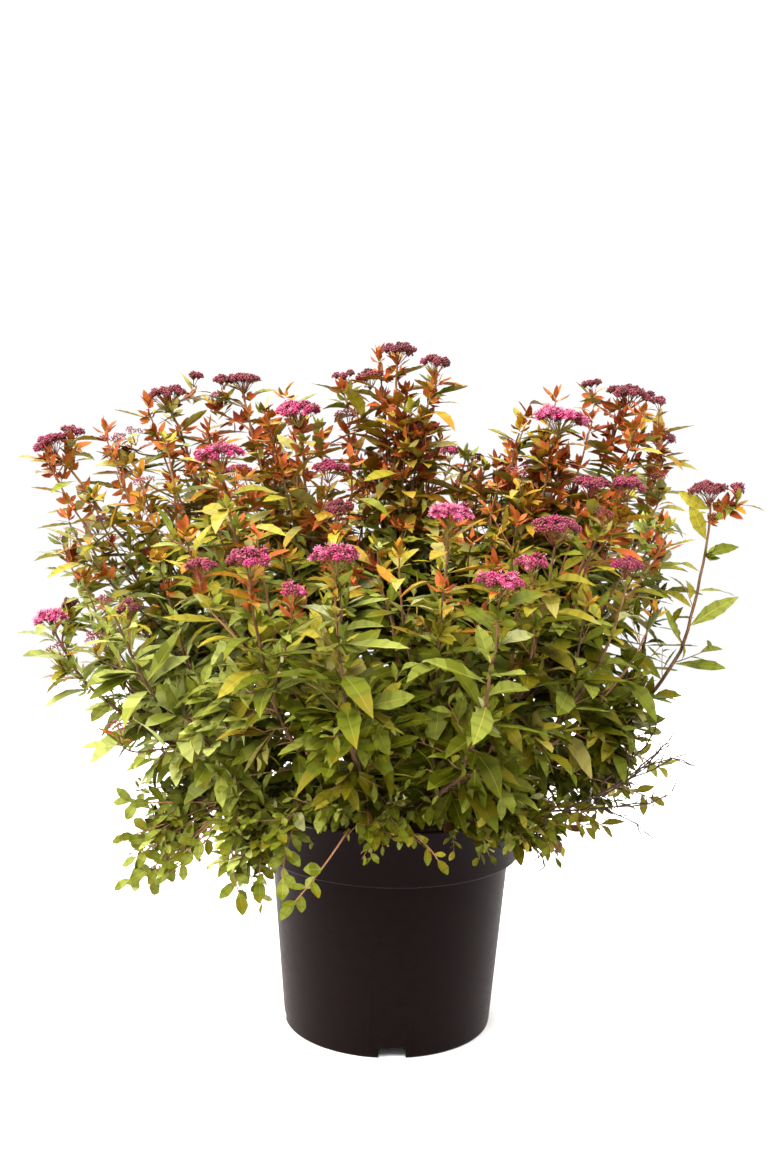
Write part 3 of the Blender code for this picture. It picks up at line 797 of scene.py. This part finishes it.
def growBranch(rng, target, look):
    zone, kind = region(target), look["kind"]
    base, ahead = nearestLimb(rng, target)
    reach = (target - base).length
    lean = ahead * 0.25 + (target - base).normalized() * 0.2 + upward * 0.10
    controls = (base, base + lean * reach, target - (outwardOf(target) * 0.55 + upward * 0.15) * reach * 0.30
                + upward * look["droop"] * reach, target)
    thick = 0.0008 + 0.0045 * reach
    line = growLimb(rng, controls, 9, 0.004, thick, thick * 0.62, 5, "twigBrown", "twigTan")
    tint = sprayTint(rng, target)
    s = max(0.012, line["total"] - rng.uniform(0.075, 0.12))
    turn = rng.random() * fullTurn
    while s < line["total"]:
        point, ahead = onLine(line, s)
        turn += goldenTurn + rng.uniform(-0.4, 0.4)
        radial = spin(ahead, turn)
        share = 1 - (line["total"] - s) / line["total"]
        angle = math.radians(rng.uniform(48, 76) - 18 * share)
        along = (between(ahead, radial, angle) + upward * rng.uniform(-0.15, 0.25)).normalized()
        facing = upward * 0.75 + outwardOf(point) * rng.uniform(0.1, 0.7) + scatter(rng, either, either, 0) * 0.35
        size = rng.uniform(*look["leaf"]) * (1.08 - 0.3 * share)
        addLeaf(rng, kind, point, along, facing, size, nearTint(rng, tint), zone)
        if rng.random() < look["side"]:
            growSprig(rng, point, (ahead * 0.6 + radial * 0.9).normalized(), rng.uniform(0.016, 0.042),
                      rng.uniform(*look["leaf"]) * 0.7, kind, nearTint(rng, tint), None, zone, look["droop"])
        s += look["step"] * rng.uniform(0.8, 1.25)
    end, ahead = onLine(line, line["total"])
    addLeaf(rng, kind, end, ahead, upward + outwardOf(end) * 0.5, rng.uniform(*look["leaf"]) * 0.8, tint, zone)


def anyWay(rng):
    return Vector([rng.gauss(0, 1) for _ in range(3)]).normalized()


def sized(ray, half):
    return Vector([r * h for r, h in zip(ray, half)])


# Branches end inside the foliage body, clear of the soil and the rim
rimSpace = {"radius": 0.150, "height": 0.262}
for number, (name, (centre, half)) in enumerate(bodies.items()):
    rng = random.Random(900 + number)
    look = bodyLooks[name.split("_")[0]]
    centre, half = Vector(mm(*centre)), mm(*half)
    outward = outwardOf(centre)
    shrink = 0.60 if centre.x > 0.1 else 0.78
    for _ in range(look["twigs"]):
        ray = anyWay(rng)
        if ray.dot(outward) < -0.1 and rng.random() < 0.6:
            ray.negate()
        ray *= rng.uniform(0.45, 1.0)
        target = centre - outward * look["inset"] + sized(ray, half) * shrink
        if math.hypot(target.x, target.y) < rimSpace["radius"] and target.z < rimSpace["height"]:
            target.z = rimSpace["height"] + rng.uniform(0, 0.02)
        growBranch(rng, target, look)

# Dark growth in the middle of the crown; its dark leaf tints are painted shade
core = {"centre": Vector((0, 0.01, 0.415)), "half": (0.175, 0.150, 0.130), "twigs": 64}
coreFill = (
    (-35, 40, 475), (-20, -20, 490), (-45, -50, 460), (0, 90, 500), (-60, 100, 480), (-30, 0, 450),
    (150, 0, 380), (140, 60, 390), (130, -60, 370), (0, -30, 345), (20, 40, 340), (-30, 20, 335),
    (-42, -70, 432), (-30, 80, 440), (36, -30, 300), (42, 50, 300), (-228, -100, 300),
    (-208, -112, 306),
)
for k in range(core["twigs"] + len(coreFill)):
    rng = random.Random(1100 + k)
    target = core["centre"] + sized(anyWay(rng) * rng.uniform(0.3, 1.0), core["half"])
    if k >= core["twigs"]:
        target = Vector(mm(*coreFill[k - core["twigs"]]))
    growBranch(rng, target, bodyLooks["belly"])

# Sprays that hang over the rim or stand out: points of the stem, leaf kind and length, tint, bare share
hangingSprays = (
    (((-165, -125, 250), (-190, -132, 222), (-216, -130, 204), (-240, -124, 190)), "small", 21, "leaf", 0.3),
    (((-160, -120, 250), (-180, -132, 226), (-198, -132, 210), (-214, -130, 196)), "small", 20, "spring", 0.2),
    (((-150, -115, 262), (-185, -115, 235), (-220, -105, 228), (-245, -100, 220)), "small", 19, "spring", 0.3),
    (((-150, -170, 250), (-150, -186, 232), (-146, -194, 214), (-141, -200, 202)), "small", 22, "leaf", 0.25),
    (((-112, -150, 262), (-122, -174, 244), (-124, -186, 226), (-122, -192, 212)), "small", 22, "leaf", 0.15),
    (((-90, -160, 262), (-98, -184, 246), (-101, -196, 230), (-100, -202, 218)), "small", 22, "spring", 0.15),
    (((-40, -190, 262), (-56, -214, 240), (-74, -226, 220), (-87, -234, 206)), "small", 23, "leaf", 0.55),
    (((0, -180, 268), (22, -200, 262), (36, -212, 252), (42, -215, 242)), "small", 17, "moss", 0.4),
    (((128, -100, 262), (146, -110, 246), (156, -108, 232), (164, -102, 222)), "small", 17, "olive", 0.5),
    (((-170, -110, 262), (-205, -112, 262), (-235, -105, 258), (-258, -95, 256)), "small", 22, "spring", 0.3),
    (((-175, -105, 258), (-210, -112, 244), (-238, -110, 232), (-258, -104, 224)), "small", 22, "leaf", 0.3),
    (((150, -100, 268), (166, -112, 262), (180, -112, 252), (190, -106, 242)), "small", 18, "moss", 0.3),
    (((185, -60, 285), (215, -66, 278), (240, -64, 270), (258, -60, 262)), "long", 26, "moss", 0.2),
    (((170, -90, 266), (186, -94, 256), (198, -92, 248), (208, -88, 240)), "long", 26, "moss", 0.2),
    (((190, -60, 300), (215, -60, 312), (235, -56, 320), (252, -50, 324)), "long", 30, "moss", 0.1),
    (((-165, -118, 250), (-200, -126, 224), (-228, -124, 200), (-254, -116, 184)), "small", 22, "spring", 0.35),
    (((-165, -112, 252), (-195, -122, 232), (-215, -122, 210), (-226, -118, 186)), "small", 22, "leaf", 0.4),
    (((-170, -108, 256), (-210, -118, 238), (-236, -116, 216), (-250, -108, 204)), "small", 21, "spring", 0.3),
    (((215, -60, 310), (240, -50, 306), (258, -45, 298), (270, -40, 288)), "long", 24, "olive", 0.4),
)
for number, (points, kind, size, tint, bare) in enumerate(hangingSprays):
    rng = random.Random(1200 + number)
    size /= 1000
    line = growLimb(rng, [Vector(mm(*p)) for p in points], 9, 0, 0.0010, 0.0004, 5, "twigTan")
    s, turn = line["total"] * bare, rng.random() * fullTurn
    while s < line["total"]:
        point, ahead = onLine(line, s)
        turn += goldenTurn
        along = (ahead * 0.55 + spin(ahead, turn) * 0.8).normalized()
        facing = upward * 0.6 + Vector((0, -0.7, 0)) + scatter(rng, either, 0, either) * 0.4
        addLeaf(rng, kind, point, along, facing, size * rng.uniform(0.7, 1.1), nearTint(rng, tint), region(point))
        s += rng.uniform(0.005, 0.009)
    addLeaf(rng, kind, line["points"][-1], ahead, Vector((0, -0.6, 0.6)), size, tint, region(point))


# Dead twiglets, bare and forking
def growDead(rng, base, direction, length, thick, depth):
    points = [base]
    heading = direction.normalized()
    for _ in range(5):
        heading = (heading + scatter(rng, either, either, (-0.8, 1)) * 0.28).normalized()
        points.append(points[-1] + heading * length / 5)
    addTube(twigs, points, [thick * (1 - 0.10 * k) for k in range(6)], 4, woodIndex["twigDead"])
    if depth:
        for point in points[2:]:
            fork = (heading + scatter(rng, either, either, (-0.6, 1)) * 0.8).normalized()
            growDead(rng, point, fork, length * rng.uniform(0.35, 0.6), thick * 0.72, depth - 1)


# Foot, direction and length
deadTwigs = (
    ((165, -135, 268), (1, 0.25, 0.26), 90), ((195, -125, 280), (1, 0.2, 0.60), 62),
    ((150, -120, 262), (0.9, -0.1, 0.15), 85), ((205, -100, 285), (0.9, 0, 0.7), 55),
    ((-30, -120, 250), (0.2, -1, 0.4), 60), ((120, -130, 255), (0.4, -0.5, -0.1), 50),
    ((-180, 120, 270), (-1, 0.4, 0.2), 70),
)
for number, (base, ahead, length) in enumerate(deadTwigs):
    growDead(random.Random(1300 + number), Vector(mm(*base)), Vector(ahead), length / 1000, 0.0013, 2)

# Withered leaves caught low in the crown
witheredPlaces = (
    (155, -115, 262), (168, -110, 250), (140, -125, 270), (60, -150, 262),
    (-90, -140, 262), (180, 60, 262), (-150, 80, 258), (162, -104, 238),
)
for number, place in enumerate(witheredPlaces):
    rng = random.Random(1400 + number)
    for _ in range(3):
        along = scatter(rng, either, (-1, 0.2), (-1, 0.1)).normalized()
        spot = Vector(mm(*place)) + scatter(rng, either, either, either) * 0.008
        length = rng.uniform(0.014, 0.022)
        addLeaf(rng, "small", spot, along, upward + Vector((0, -1, 0)), length, "dead", region(spot))

print("joining leaves")
print("leaves", {kind: sum(len(items) for items in lists) for kind, lists in placed.items()})
leafSlots = leafMaterials()
leafBags = {}
for kind in leafShapes:
    for variant, items in zip(leafVariants(kind), placed[kind]):
        byRegion = {}
        for item in items:
            byRegion.setdefault(item[-1], []).append(item)
        for zone, group in byRegion.items():
            bases, sides, alongs, facings, tints, _ = zip(*group)
            frames = np.stack([np.array(v) for v in (sides, alongs, facings)], axis=1)
            verts = np.einsum("nj,kji->kni", variant["verts"], frames) + np.array(bases)[:, None, :]
            faces = variant["faces"][None] + np.arange(len(group))[:, None, None] * len(variant["verts"])
            blade = np.array([bladeIndex[t] for t in tints])[:, None]
            blush = np.array([bladeIndex[palette[t][1]] for t in tints])[:, None]
            rib = np.array([ribIndex[palette[t][3]] for t in tints])[:, None]
            part = variant["kinds"][None]
            # Vein rows take the darker vein materials: painted shade of the grooves
            plain = blade + veinShift * (part == veinPart)
            slots = np.select([part == ribPart, part == blushPart], [rib, blush], plain)
            bag = leafBags.setdefault(zone, newBag())
            addPart(bag, verts.reshape(-1, 3), faces.reshape(-1, 4), slots.ravel())

print("joining flower heads")
belt = [(math.cos(k * 1.5708), math.sin(k * 1.5708), 0.1) for k in range(4)]
around = [(1 + k, 1 + (k + 1) % 4) for k in range(4)]
budVerts = np.array([(0, 0, 1), *belt, (0, 0, -0.9)])
budFaces = np.array([(0, a, b) for a, b in around] + [(5, b, a) for a, b in around])
petalOutline = ((0.15, 0.0, 0.0), (0.65, 0.52, 0.22), (1.0, 0.25, 0.34), (1.0, -0.25, 0.34), (0.65, -0.52, 0.22))


def openFlower(place, ray, size, tint):
    side = spin(ray, 0.0)
    across = ray.cross(side)
    verts, faces, tints = [], [], []
    for n in range(5):
        angle = 2 * math.pi * n / 5
        for reach, off, lift in petalOutline:
            x = reach * math.cos(angle) - off * math.sin(angle)
            y = reach * math.sin(angle) + off * math.cos(angle)
            verts.append(np.array(place + (side * x + across * y) * size + ray * lift * size))
        b = n * 5
        faces += [(b, b + 1, b + 2), (b, b + 2, b + 3), (b, b + 3, b + 4)]
        tints += [blossomIndex[tint]] * 3
    for n in range(5):
        angle = 2 * math.pi * (n + 0.5) / 5
        root = place + ray * 0.0003
        tip = place + between(side, across, angle) * size * 0.75 + ray * size * 1.25
        b = len(verts)
        wide = (side * math.sin(angle) - across * math.cos(angle)) * size * 0.07
        verts += [np.array(corner) for corner in (root - wide, root + wide, tip + wide * 1.8, tip - wide * 1.8)]
        faces += [(b, b + 1, b + 2), (b, b + 2, b + 3)]
        tints += [blossomIndex["stamen"]] * 2
    addPart(petals, np.array(verts), np.array(faces), np.array(tints))


for kind, place, ray, size, tint in headPlaces:
    if kind == "bud":
        addPart(buds, budVerts * size + np.array(place), budFaces, np.full(len(budFaces), blossomIndex[tint]))
    else:
        openFlower(place, ray, size, tint)


# Noise that breaks up a colour and a roughness, for bark, soil and moulded plastic
def mottleGroup():
    group = bpy.data.node_groups.new("Mottle", "ShaderNodeTree")
    for name, kind, value in (("Scale", "Float", 40.0), ("Stretch", "Float", 1.0), ("Dark", "Color", (0, 0, 0, 1)),
                              ("Light", "Color", (1, 1, 1, 1)), ("Relief", "Float", 0.2)):
        socket = group.interface.new_socket(name=name, in_out="INPUT", socket_type="NodeSocket" + kind)
        socket.default_value = value
    for name, kind in (("Colour", "Color"), ("Mask", "Float"), ("Normal", "Vector")):
        group.interface.new_socket(name=name, in_out="OUTPUT", socket_type="NodeSocket" + kind)
    enter, leave, place, stretch, scaled, grain, ramp, mix, bump = (group.nodes.new(kind) for kind in (
        "NodeGroupInput", "NodeGroupOutput", "ShaderNodeTexCoord", "ShaderNodeCombineXYZ", "ShaderNodeVectorMath",
        "ShaderNodeTexNoise", "ShaderNodeMapRange", "ShaderNodeMix", "ShaderNodeBump"))
    scaled.operation, mix.data_type = "MULTIPLY", "RGBA"
    setInputs(stretch, {"X": 1, "Y": 1})
    setInputs(grain, {"Detail": 6, "Roughness": 0.62})
    setInputs(ramp, {"From Min": 0.34, "From Max": 0.66})
    setInputs(bump, {"Distance": 0.001})
    for start, end in (
            (enter.outputs["Stretch"], stretch.inputs["Z"]), (place.outputs["Object"], scaled.inputs[0]),
            (stretch.outputs[0], scaled.inputs[1]), (scaled.outputs[0], grain.inputs["Vector"]),
            (enter.outputs["Scale"], grain.inputs["Scale"]), (grain.outputs["Fac"], ramp.inputs["Value"]),
            (ramp.outputs[0], mix.inputs["Factor"]), (enter.outputs["Dark"], mix.inputs["A"]),
            (enter.outputs["Light"], mix.inputs["B"]), (enter.outputs["Relief"], bump.inputs["Strength"]),
            (grain.outputs["Fac"], bump.inputs["Height"]), (mix.outputs["Result"], leave.inputs["Colour"]),
            (ramp.outputs[0], leave.inputs["Mask"]), (bump.outputs[0], leave.inputs["Normal"])):
        group.links.new(start, end)
    return group


mottle = mottleGroup()


def mottledMaterial(name, look):
    material = bpy.data.materials.new(name)
    material.use_nodes = True
    nodes, links = material.node_tree.nodes, material.node_tree.links
    shader, group, spread = nodes["Principled BSDF"], nodes.new("ShaderNodeGroup"), nodes.new("ShaderNodeMapRange")
    group.node_tree = mottle
    setInputs(group, {socket: (*look[socket], 1) if socket in ("Dark", "Light") else look[socket]
                      for socket in ("Scale", "Stretch", "Dark", "Light", "Relief") if socket in look})
    setInputs(spread, {"To Min": look["rough"][0], "To Max": look["rough"][1]})
    setInputs(shader, look["shader"])
    links.new(group.outputs["Colour"], shader.inputs["Base Color"])
    links.new(group.outputs["Normal"], shader.inputs["Normal"])
    links.new(group.outputs["Mask"], spread.inputs["Value"])
    links.new(spread.outputs[0], shader.inputs["Roughness"])
    return material


barkByHeight = {"low": 0.27, "high": 0.56, "DarkLow": (0.030, 0.015, 0.009), "LightLow": (0.115, 0.060, 0.032),
                "DarkHigh": (0.078, 0.036, 0.017), "LightHigh": (0.205, 0.108, 0.046)}
barkLook = {"Scale": 160, "Stretch": 0.25, "Relief": 0.5, "rough": (0.66, 0.88),
            "shader": {"Specular IOR Level": 0.12}}
soilLook = {"Scale": 120, "Stretch": 1, "Dark": (0.012, 0.007, 0.004), "Light": (0.070, 0.042, 0.024),
            "Relief": 1.0, "rough": (0.85, 1.0), "shader": {"Specular IOR Level": 0.2}}
potLook = {"Scale": 70, "Stretch": 3, "Dark": (0.0018, 0.0007, 0.0006), "Light": (0.0030, 0.0014, 0.0013),
           "Relief": 0.05, "rough": (0.40, 0.50),
           "shader": {"Specular IOR Level": 0.030, "Specular Tint": (1.0, 0.78, 0.82, 1), "Sheen Weight": 0.07,
                      "Sheen Roughness": 0.45, "Sheen Tint": (1.0, 0.74, 0.79, 1)}}


# Canes are dark brown at the foot and redder towards the tip
def barkMaterial():
    material = mottledMaterial("caneBark", barkLook)
    nodes, links = material.node_tree.nodes, material.node_tree.links
    group = next(n for n in nodes if n.type == "GROUP")
    place, parts, rise = (nodes.new("ShaderNode" + kind) for kind in ("TexCoord", "SeparateXYZ", "MapRange"))
    links.new(place.outputs["Object"], parts.inputs[0])
    links.new(parts.outputs["Z"], rise.inputs["Value"])
    setInputs(rise, {"From Min": barkByHeight["low"], "From Max": barkByHeight["high"]})
    for socket in ("Dark", "Light"):
        mix = nodes.new("ShaderNodeMix")
        mix.data_type = "RGBA"
        links.new(rise.outputs[0], mix.inputs["Factor"])
        mix.inputs["A"].default_value = (*barkByHeight[socket + "Low"], 1)
        mix.inputs["B"].default_value = (*barkByHeight[socket + "High"], 1)
        links.new(mix.outputs["Result"], group.inputs[socket])
    return material


# Pot, turned from its outline. Notches: width, height and depth of each step
pot = {"sides": 144, "baseRadius": 0.1083, "wallTop": 0.1240, "collarLow": 0.1351, "rim": 0.1400, "ledge": 0.1856,
       "height": 0.2438, "wall": 0.0022, "recess": 0.0105, "hub": 0.028, "footCurve": 0.0028, "ledgeCurve": 0.0026,
       "lipCurve": 0.0012, "floorTop": 0.014, "notches": ((0.050, 0.0098, 0.0026), (0.026, 0.0118, 0.0220)),
       "notchFlare": 0.0032, "notchCorner": 0.0015, "notchTurn": 2.9, "sharpAngle": 34}
soil = {"sides": 96, "gap": 0.0004, "floor": 0.0135, "edge": 0.2125, "edgeRadius": 0.131, "top": 0.2135,
        "domeRise": 0.005, "rings": 26, "lumps": ((0.0022, 130), (0.0018, 420))}


def wallRadius(z):
    return pot["baseRadius"] + (pot["wallTop"] - pot["baseRadius"]) * z / pot["ledge"]


def collarRadius(z):
    return pot["collarLow"] + (pot["rim"] - pot["collarLow"]) * (z - pot["ledge"]) / (pot["height"] - pot["ledge"])


def arcPoints(centre, radius, first, last, count):
    made = []
    for k in range(count + 1):
        angle = math.radians(first + (last - first) * k / count)
        made.append((centre[0] + radius * math.cos(angle), centre[1] + radius * math.sin(angle)))
    return made


def linkObject(name, data):
    made = bpy.data.objects.new(name, data)
    bpy.context.scene.collection.objects.link(made)
    return made


def turned(name, profile, sides):
    shell = bmesh.new()
    angles = [2 * math.pi * k / sides for k in range(sides)]
    rings = []
    for radius, height in profile:
        around = angles if radius > 0 else [0]
        rings.append([shell.verts.new((radius * math.cos(a), radius * math.sin(a), height)) for a in around])
    for low, high in zip(rings, rings[1:]):
        for k in range(sides):
            n = (k + 1) % sides
            if len(low) == 1:
                shell.faces.new((low[0], high[n], high[k]))
            elif len(high) == 1:
                shell.faces.new((low[k], low[n], high[0]))
            else:
                shell.faces.new((low[k], low[n], high[n], high[k]))
    bmesh.ops.recalc_face_normals(shell, faces=shell.faces)
    for face in shell.faces:
        face.smooth = True
    mesh = bpy.data.meshes.new(name)
    shell.to_mesh(mesh)
    shell.free()
    return linkObject(name, mesh)


def notchTool(wide, tall, deep, turn):
    cutter = bmesh.new()
    bmesh.ops.create_cube(cutter, size=1)
    for vert in cutter.verts:
        low = vert.co.z < 0
        across = wide + (pot["notchFlare"] if low else 0)
        vert.co = Vector((vert.co.x * across, -pot["baseRadius"] + vert.co.y * deep, -0.01 if low else tall))
    corners = [e for e in cutter.edges if all(v.co.z > 0 for v in e.verts)
               and abs(e.verts[0].co.x - e.verts[1].co.x) < 1e-6]
    bmesh.ops.bevel(cutter, geom=corners, offset=pot["notchCorner"], segments=3, affect="EDGES")
    bmesh.ops.rotate(cutter, verts=cutter.verts, matrix=Matrix.Rotation(math.radians(turn), 3, "Z"))
    mesh = bpy.data.meshes.new("notch")
    cutter.to_mesh(mesh)
    cutter.free()
    return linkObject("notch", mesh)


def cutAway(piece, tool):
    step = piece.modifiers.new("cut", "BOOLEAN")
    step.operation, step.solver, step.object = "DIFFERENCE", "EXACT", tool
    bpy.context.view_layer.update()
    piece.data = bpy.data.meshes.new_from_object(piece.evaluated_get(bpy.context.evaluated_depsgraph_get()))
    piece.modifiers.clear()
    bpy.data.objects.remove(tool, do_unlink=True)


def buildPot():
    base, ledge, height, wall, recess = (pot[key] for key in ("baseRadius", "ledge", "height", "wall", "recess"))
    foot, under, lip, hub, floor = (pot[key] for key in ("footCurve", "ledgeCurve", "lipCurve", "hub", "floorTop"))
    profile = [(0, 0), (hub, 0), (hub, recess), (base - 2 * wall, recess), (base - 2 * wall, 0), (base - foot, 0)]
    profile += arcPoints((base - foot, foot), foot, -70, 0, 4)
    profile += [(wallRadius(0.006), 0.006), (wallRadius(ledge) - 0.0002, ledge - 0.0012)]
    profile += arcPoints((collarRadius(ledge) - under, ledge + under), under, -88, 0, 6)
    profile += [(collarRadius(height - 0.0035), height - 0.0035),
                (collarRadius(height - 0.0034) + 0.0003, height - 0.0030)]
    profile += arcPoints((pot["rim"] - lip, height - lip), lip, 10, 170, 6)
    profile += [(collarRadius(ledge + 0.004) - wall, ledge + 0.004), (wallRadius(ledge) - wall, ledge + wall),
                (wallRadius(floor) - wall, floor), (0, floor - 0.0011)]
    piece = turned("potShell", profile, pot["sides"])
    for quarter in range(4):
        for notch in pot["notches"]:
            cutAway(piece, notchTool(*notch, pot["notchTurn"] + 90 * quarter))
    for face in piece.data.polygons:
        face.use_smooth = True
    piece.data.set_sharp_from_angle(angle=math.radians(pot["sharpAngle"]))
    return piece


def buildSoil():
    wall, ledge, floor, edge = pot["wall"] + soil["gap"], pot["ledge"], soil["floor"], soil["edge"]
    profile = [(0, floor), (wallRadius(floor) - wall, floor), (wallRadius(ledge) - wall, ledge + 0.003),
               (collarRadius(ledge + 0.004) - wall, ledge + 0.0045), (collarRadius(0.212) - wall, edge)]
    radius, rings = soil["edgeRadius"], soil["rings"]
    profile += [(radius - radius * k / rings, soil["top"] + soil["domeRise"] * k / rings) for k in range(1, rings + 1)]
    piece = turned("soilBall", profile, soil["sides"])
    for vert in piece.data.vertices:
        if vert.co.z > edge + 0.0001:
            vert.co.z += sum(height * noise.noise(vert.co * grain) for height, grain in soil["lumps"])
    return piece


print("building pot and soil")
potPiece, soilPiece = buildPot(), buildSoil()
potPiece.data.materials.append(mottledMaterial("potPlastic", potLook))
soilPiece.data.materials.append(mottledMaterial("pottingSoil", soilLook))

# Woody stool under the canes
knuckles = {"count": 46, "radius": 0.040, "foot": 0.214, "top": 0.236, "lift": (-0.006, 0.008),
            "thick": (0.0035, 0.0055)}
rng = random.Random(7)
for k in range(knuckles["count"]):
    angle, reach = k * goldenTurn, knuckles["radius"] * math.sqrt((k + 0.5) / knuckles["count"])
    foot = Vector((reach * math.cos(angle), reach * math.sin(angle), knuckles["foot"]))
    head = foot * 1.08
    head.z = knuckles["top"] + rng.uniform(*knuckles["lift"])
    thick = rng.uniform(*knuckles["thick"])
    addTube(canes, [foot, foot.lerp(head, 0.5), head], [thick * 1.2, thick, thick * 0.7], 9, 0, True)

print("making meshes")
nodes = sorted(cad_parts)
foliageNodes = [n for n in nodes if n.startswith("foliage_")]
caneMesh = meshFromBag("canes", canes, [barkMaterial()])
woodMaterials = [plainMaterial("wood_" + name, colour, "wood") for name, colour in woods.items()]
blossomMaterials = [plainMaterial("blossom_" + name, colour, "blossom") for name, colour in blossoms.items()]
twigMesh = meshFromBag("twigs", twigs, woodMaterials)
stalkMesh = meshFromBag("flowerStalks", stalks, woodMaterials)
budMesh = meshFromBag("flowerBuds", buds, blossomMaterials)
petalMesh = meshFromBag("openFlowers", petals, blossomMaterials)
leafMeshes = {name: meshFromBag("leaves" + name, bag, leafSlots) for name, bag in sorted(leafBags.items())}


def middle(node):
    low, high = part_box(node)
    return (low + high) / 2


for piece, slot, stands in (
        (potPiece, "pot_plastic", ["pot"]), (soilPiece, "potting_soil", ["root_ball"]),
        (caneMesh, "bark", [n for n in nodes if n.startswith("bough_")] + ["short_stem"]),
        (twigMesh, "bark", []), (stalkMesh, "bark", []), (budMesh, "foliage", []), (petalMesh, "foliage", [])):
    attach(piece, "root")
    if stands:
        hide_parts(*stands)
# Leaves of one part of the crown stand for the foliage nodes whose middle lies in it
for name, piece in leafMeshes.items():
    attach(piece, "root")
    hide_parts(*[n for n in foliageNodes if region(middle(n)) == name])

triangles = {}
for piece in [caneMesh, twigMesh, stalkMesh, budMesh, petalMesh, potPiece, soilPiece] + list(leafMeshes.values()):
    piece.data.calc_loop_triangles()
    triangles[piece.name] = len(piece.data.loop_triangles)
print("triangles", triangles, sum(triangles.values()))

print("setting the studio")
floorHalf = 1.7
floorMesh = bpy.data.meshes.new("floor")
corners = [(x * floorHalf, y * floorHalf, 0) for x, y in ((-1, -1), (1, -1), (1, 1), (-1, 1))]
floorMesh.from_pydata(corners, [], [(0, 1, 2, 3)])
floorMesh.materials.append(plainMaterial("paleFloor", (0.80, 0.80, 0.80), "floor"))
floor = linkObject("floor", floorMesh)

# A white studio, darker on the camera's side and below; what the camera sees of it stays white
world = bpy.data.worlds.new("studio")
bpy.context.scene.world = world
world.use_nodes = True
studioNodes, studioLinks = world.node_tree.nodes, world.node_tree.links
sky = studioNodes["Background"]
direction, parts, fade, slope, tall, both, path, seen = (studioNodes.new("ShaderNode" + kind) for kind in (
    "TexCoord", "SeparateXYZ", "MapRange", "VectorMath", "MapRange", "Math", "LightPath", "Math"))
slope.operation, both.operation, seen.operation = "DOT_PRODUCT", "MULTIPLY", "MAXIMUM"
setInputs(sky, {"Color": (1, 1, 1, 1)})
setInputs(slope, {1: (-0.45, 0.89, 0)})
setInputs(fade, {"From Min": -0.85, "From Max": 0.15, "To Min": 0.78, "To Max": 1.40})
setInputs(tall, {"From Min": -0.30, "From Max": 0.60, "To Min": 0.38, "To Max": 1.55})
for start, end in (
        (direction.outputs["Generated"], parts.inputs[0]), (direction.outputs["Generated"], slope.inputs[0]),
        (slope.outputs["Value"], fade.inputs["Value"]), (parts.outputs["Z"], tall.inputs["Value"]),
        (fade.outputs[0], both.inputs[0]), (tall.outputs[0], both.inputs[1]),
        (both.outputs[0], seen.inputs[0]), (path.outputs["Is Camera Ray"], seen.inputs[1]),
        (seen.outputs[0], sky.inputs["Strength"])):
    studioLinks.new(start, end)

lamps = {"key": {"place": (-2.5, -1.4, 2.5), "size": 2.0, "power": 215, "colour": (1.0, 0.96, 0.88)},
         "roof": {"place": (0.1, -1.5, 2.9), "size": 2.4, "power": 225, "colour": (1.0, 0.97, 0.92)},
         "side": {"place": (-2.9, -0.4, 1.0), "size": 1.6, "power": 45, "colour": (1.0, 0.96, 0.88)},
         "rear": {"place": (-1.1, 2.5, 2.6), "size": 2.2, "power": 115, "colour": (1, 0.98, 0.95)}}
lampTarget = Vector((0, 0, 0.4))
for name, look in lamps.items():
    lamp = bpy.data.lights.new(name, "AREA")
    lamp.energy, lamp.color, lamp.size = look["power"], look["colour"], look["size"]
    lampObject = linkObject(name, lamp)
    lampObject.location = look["place"]
    lampObject.rotation_euler = (lampTarget - Vector(look["place"])).to_track_quat("-Z", "Y").to_euler()

view = {"place": (-0.0123, -1.628, 0.700), "pitch": 7.94, "roll": 1.16, "lens": 50, "sensor": 36}
cameraData = bpy.data.cameras.new("camera")
cameraData.lens, cameraData.sensor_width = view["lens"], view["sensor"]
camera = linkObject("camera", cameraData)
pitch, roll = math.radians(view["pitch"]), math.radians(view["roll"])
camera.matrix_world = (Matrix.Translation(view["place"]) @ Matrix.Rotation(math.pi / 2 - pitch, 4, "X")
                       @ Matrix.Rotation(roll, 4, "Z"))
bpy.context.scene.camera = camera
bpy.context.scene.view_settings.view_transform = "Standard"
bpy.context.scene.view_settings.look = "None"
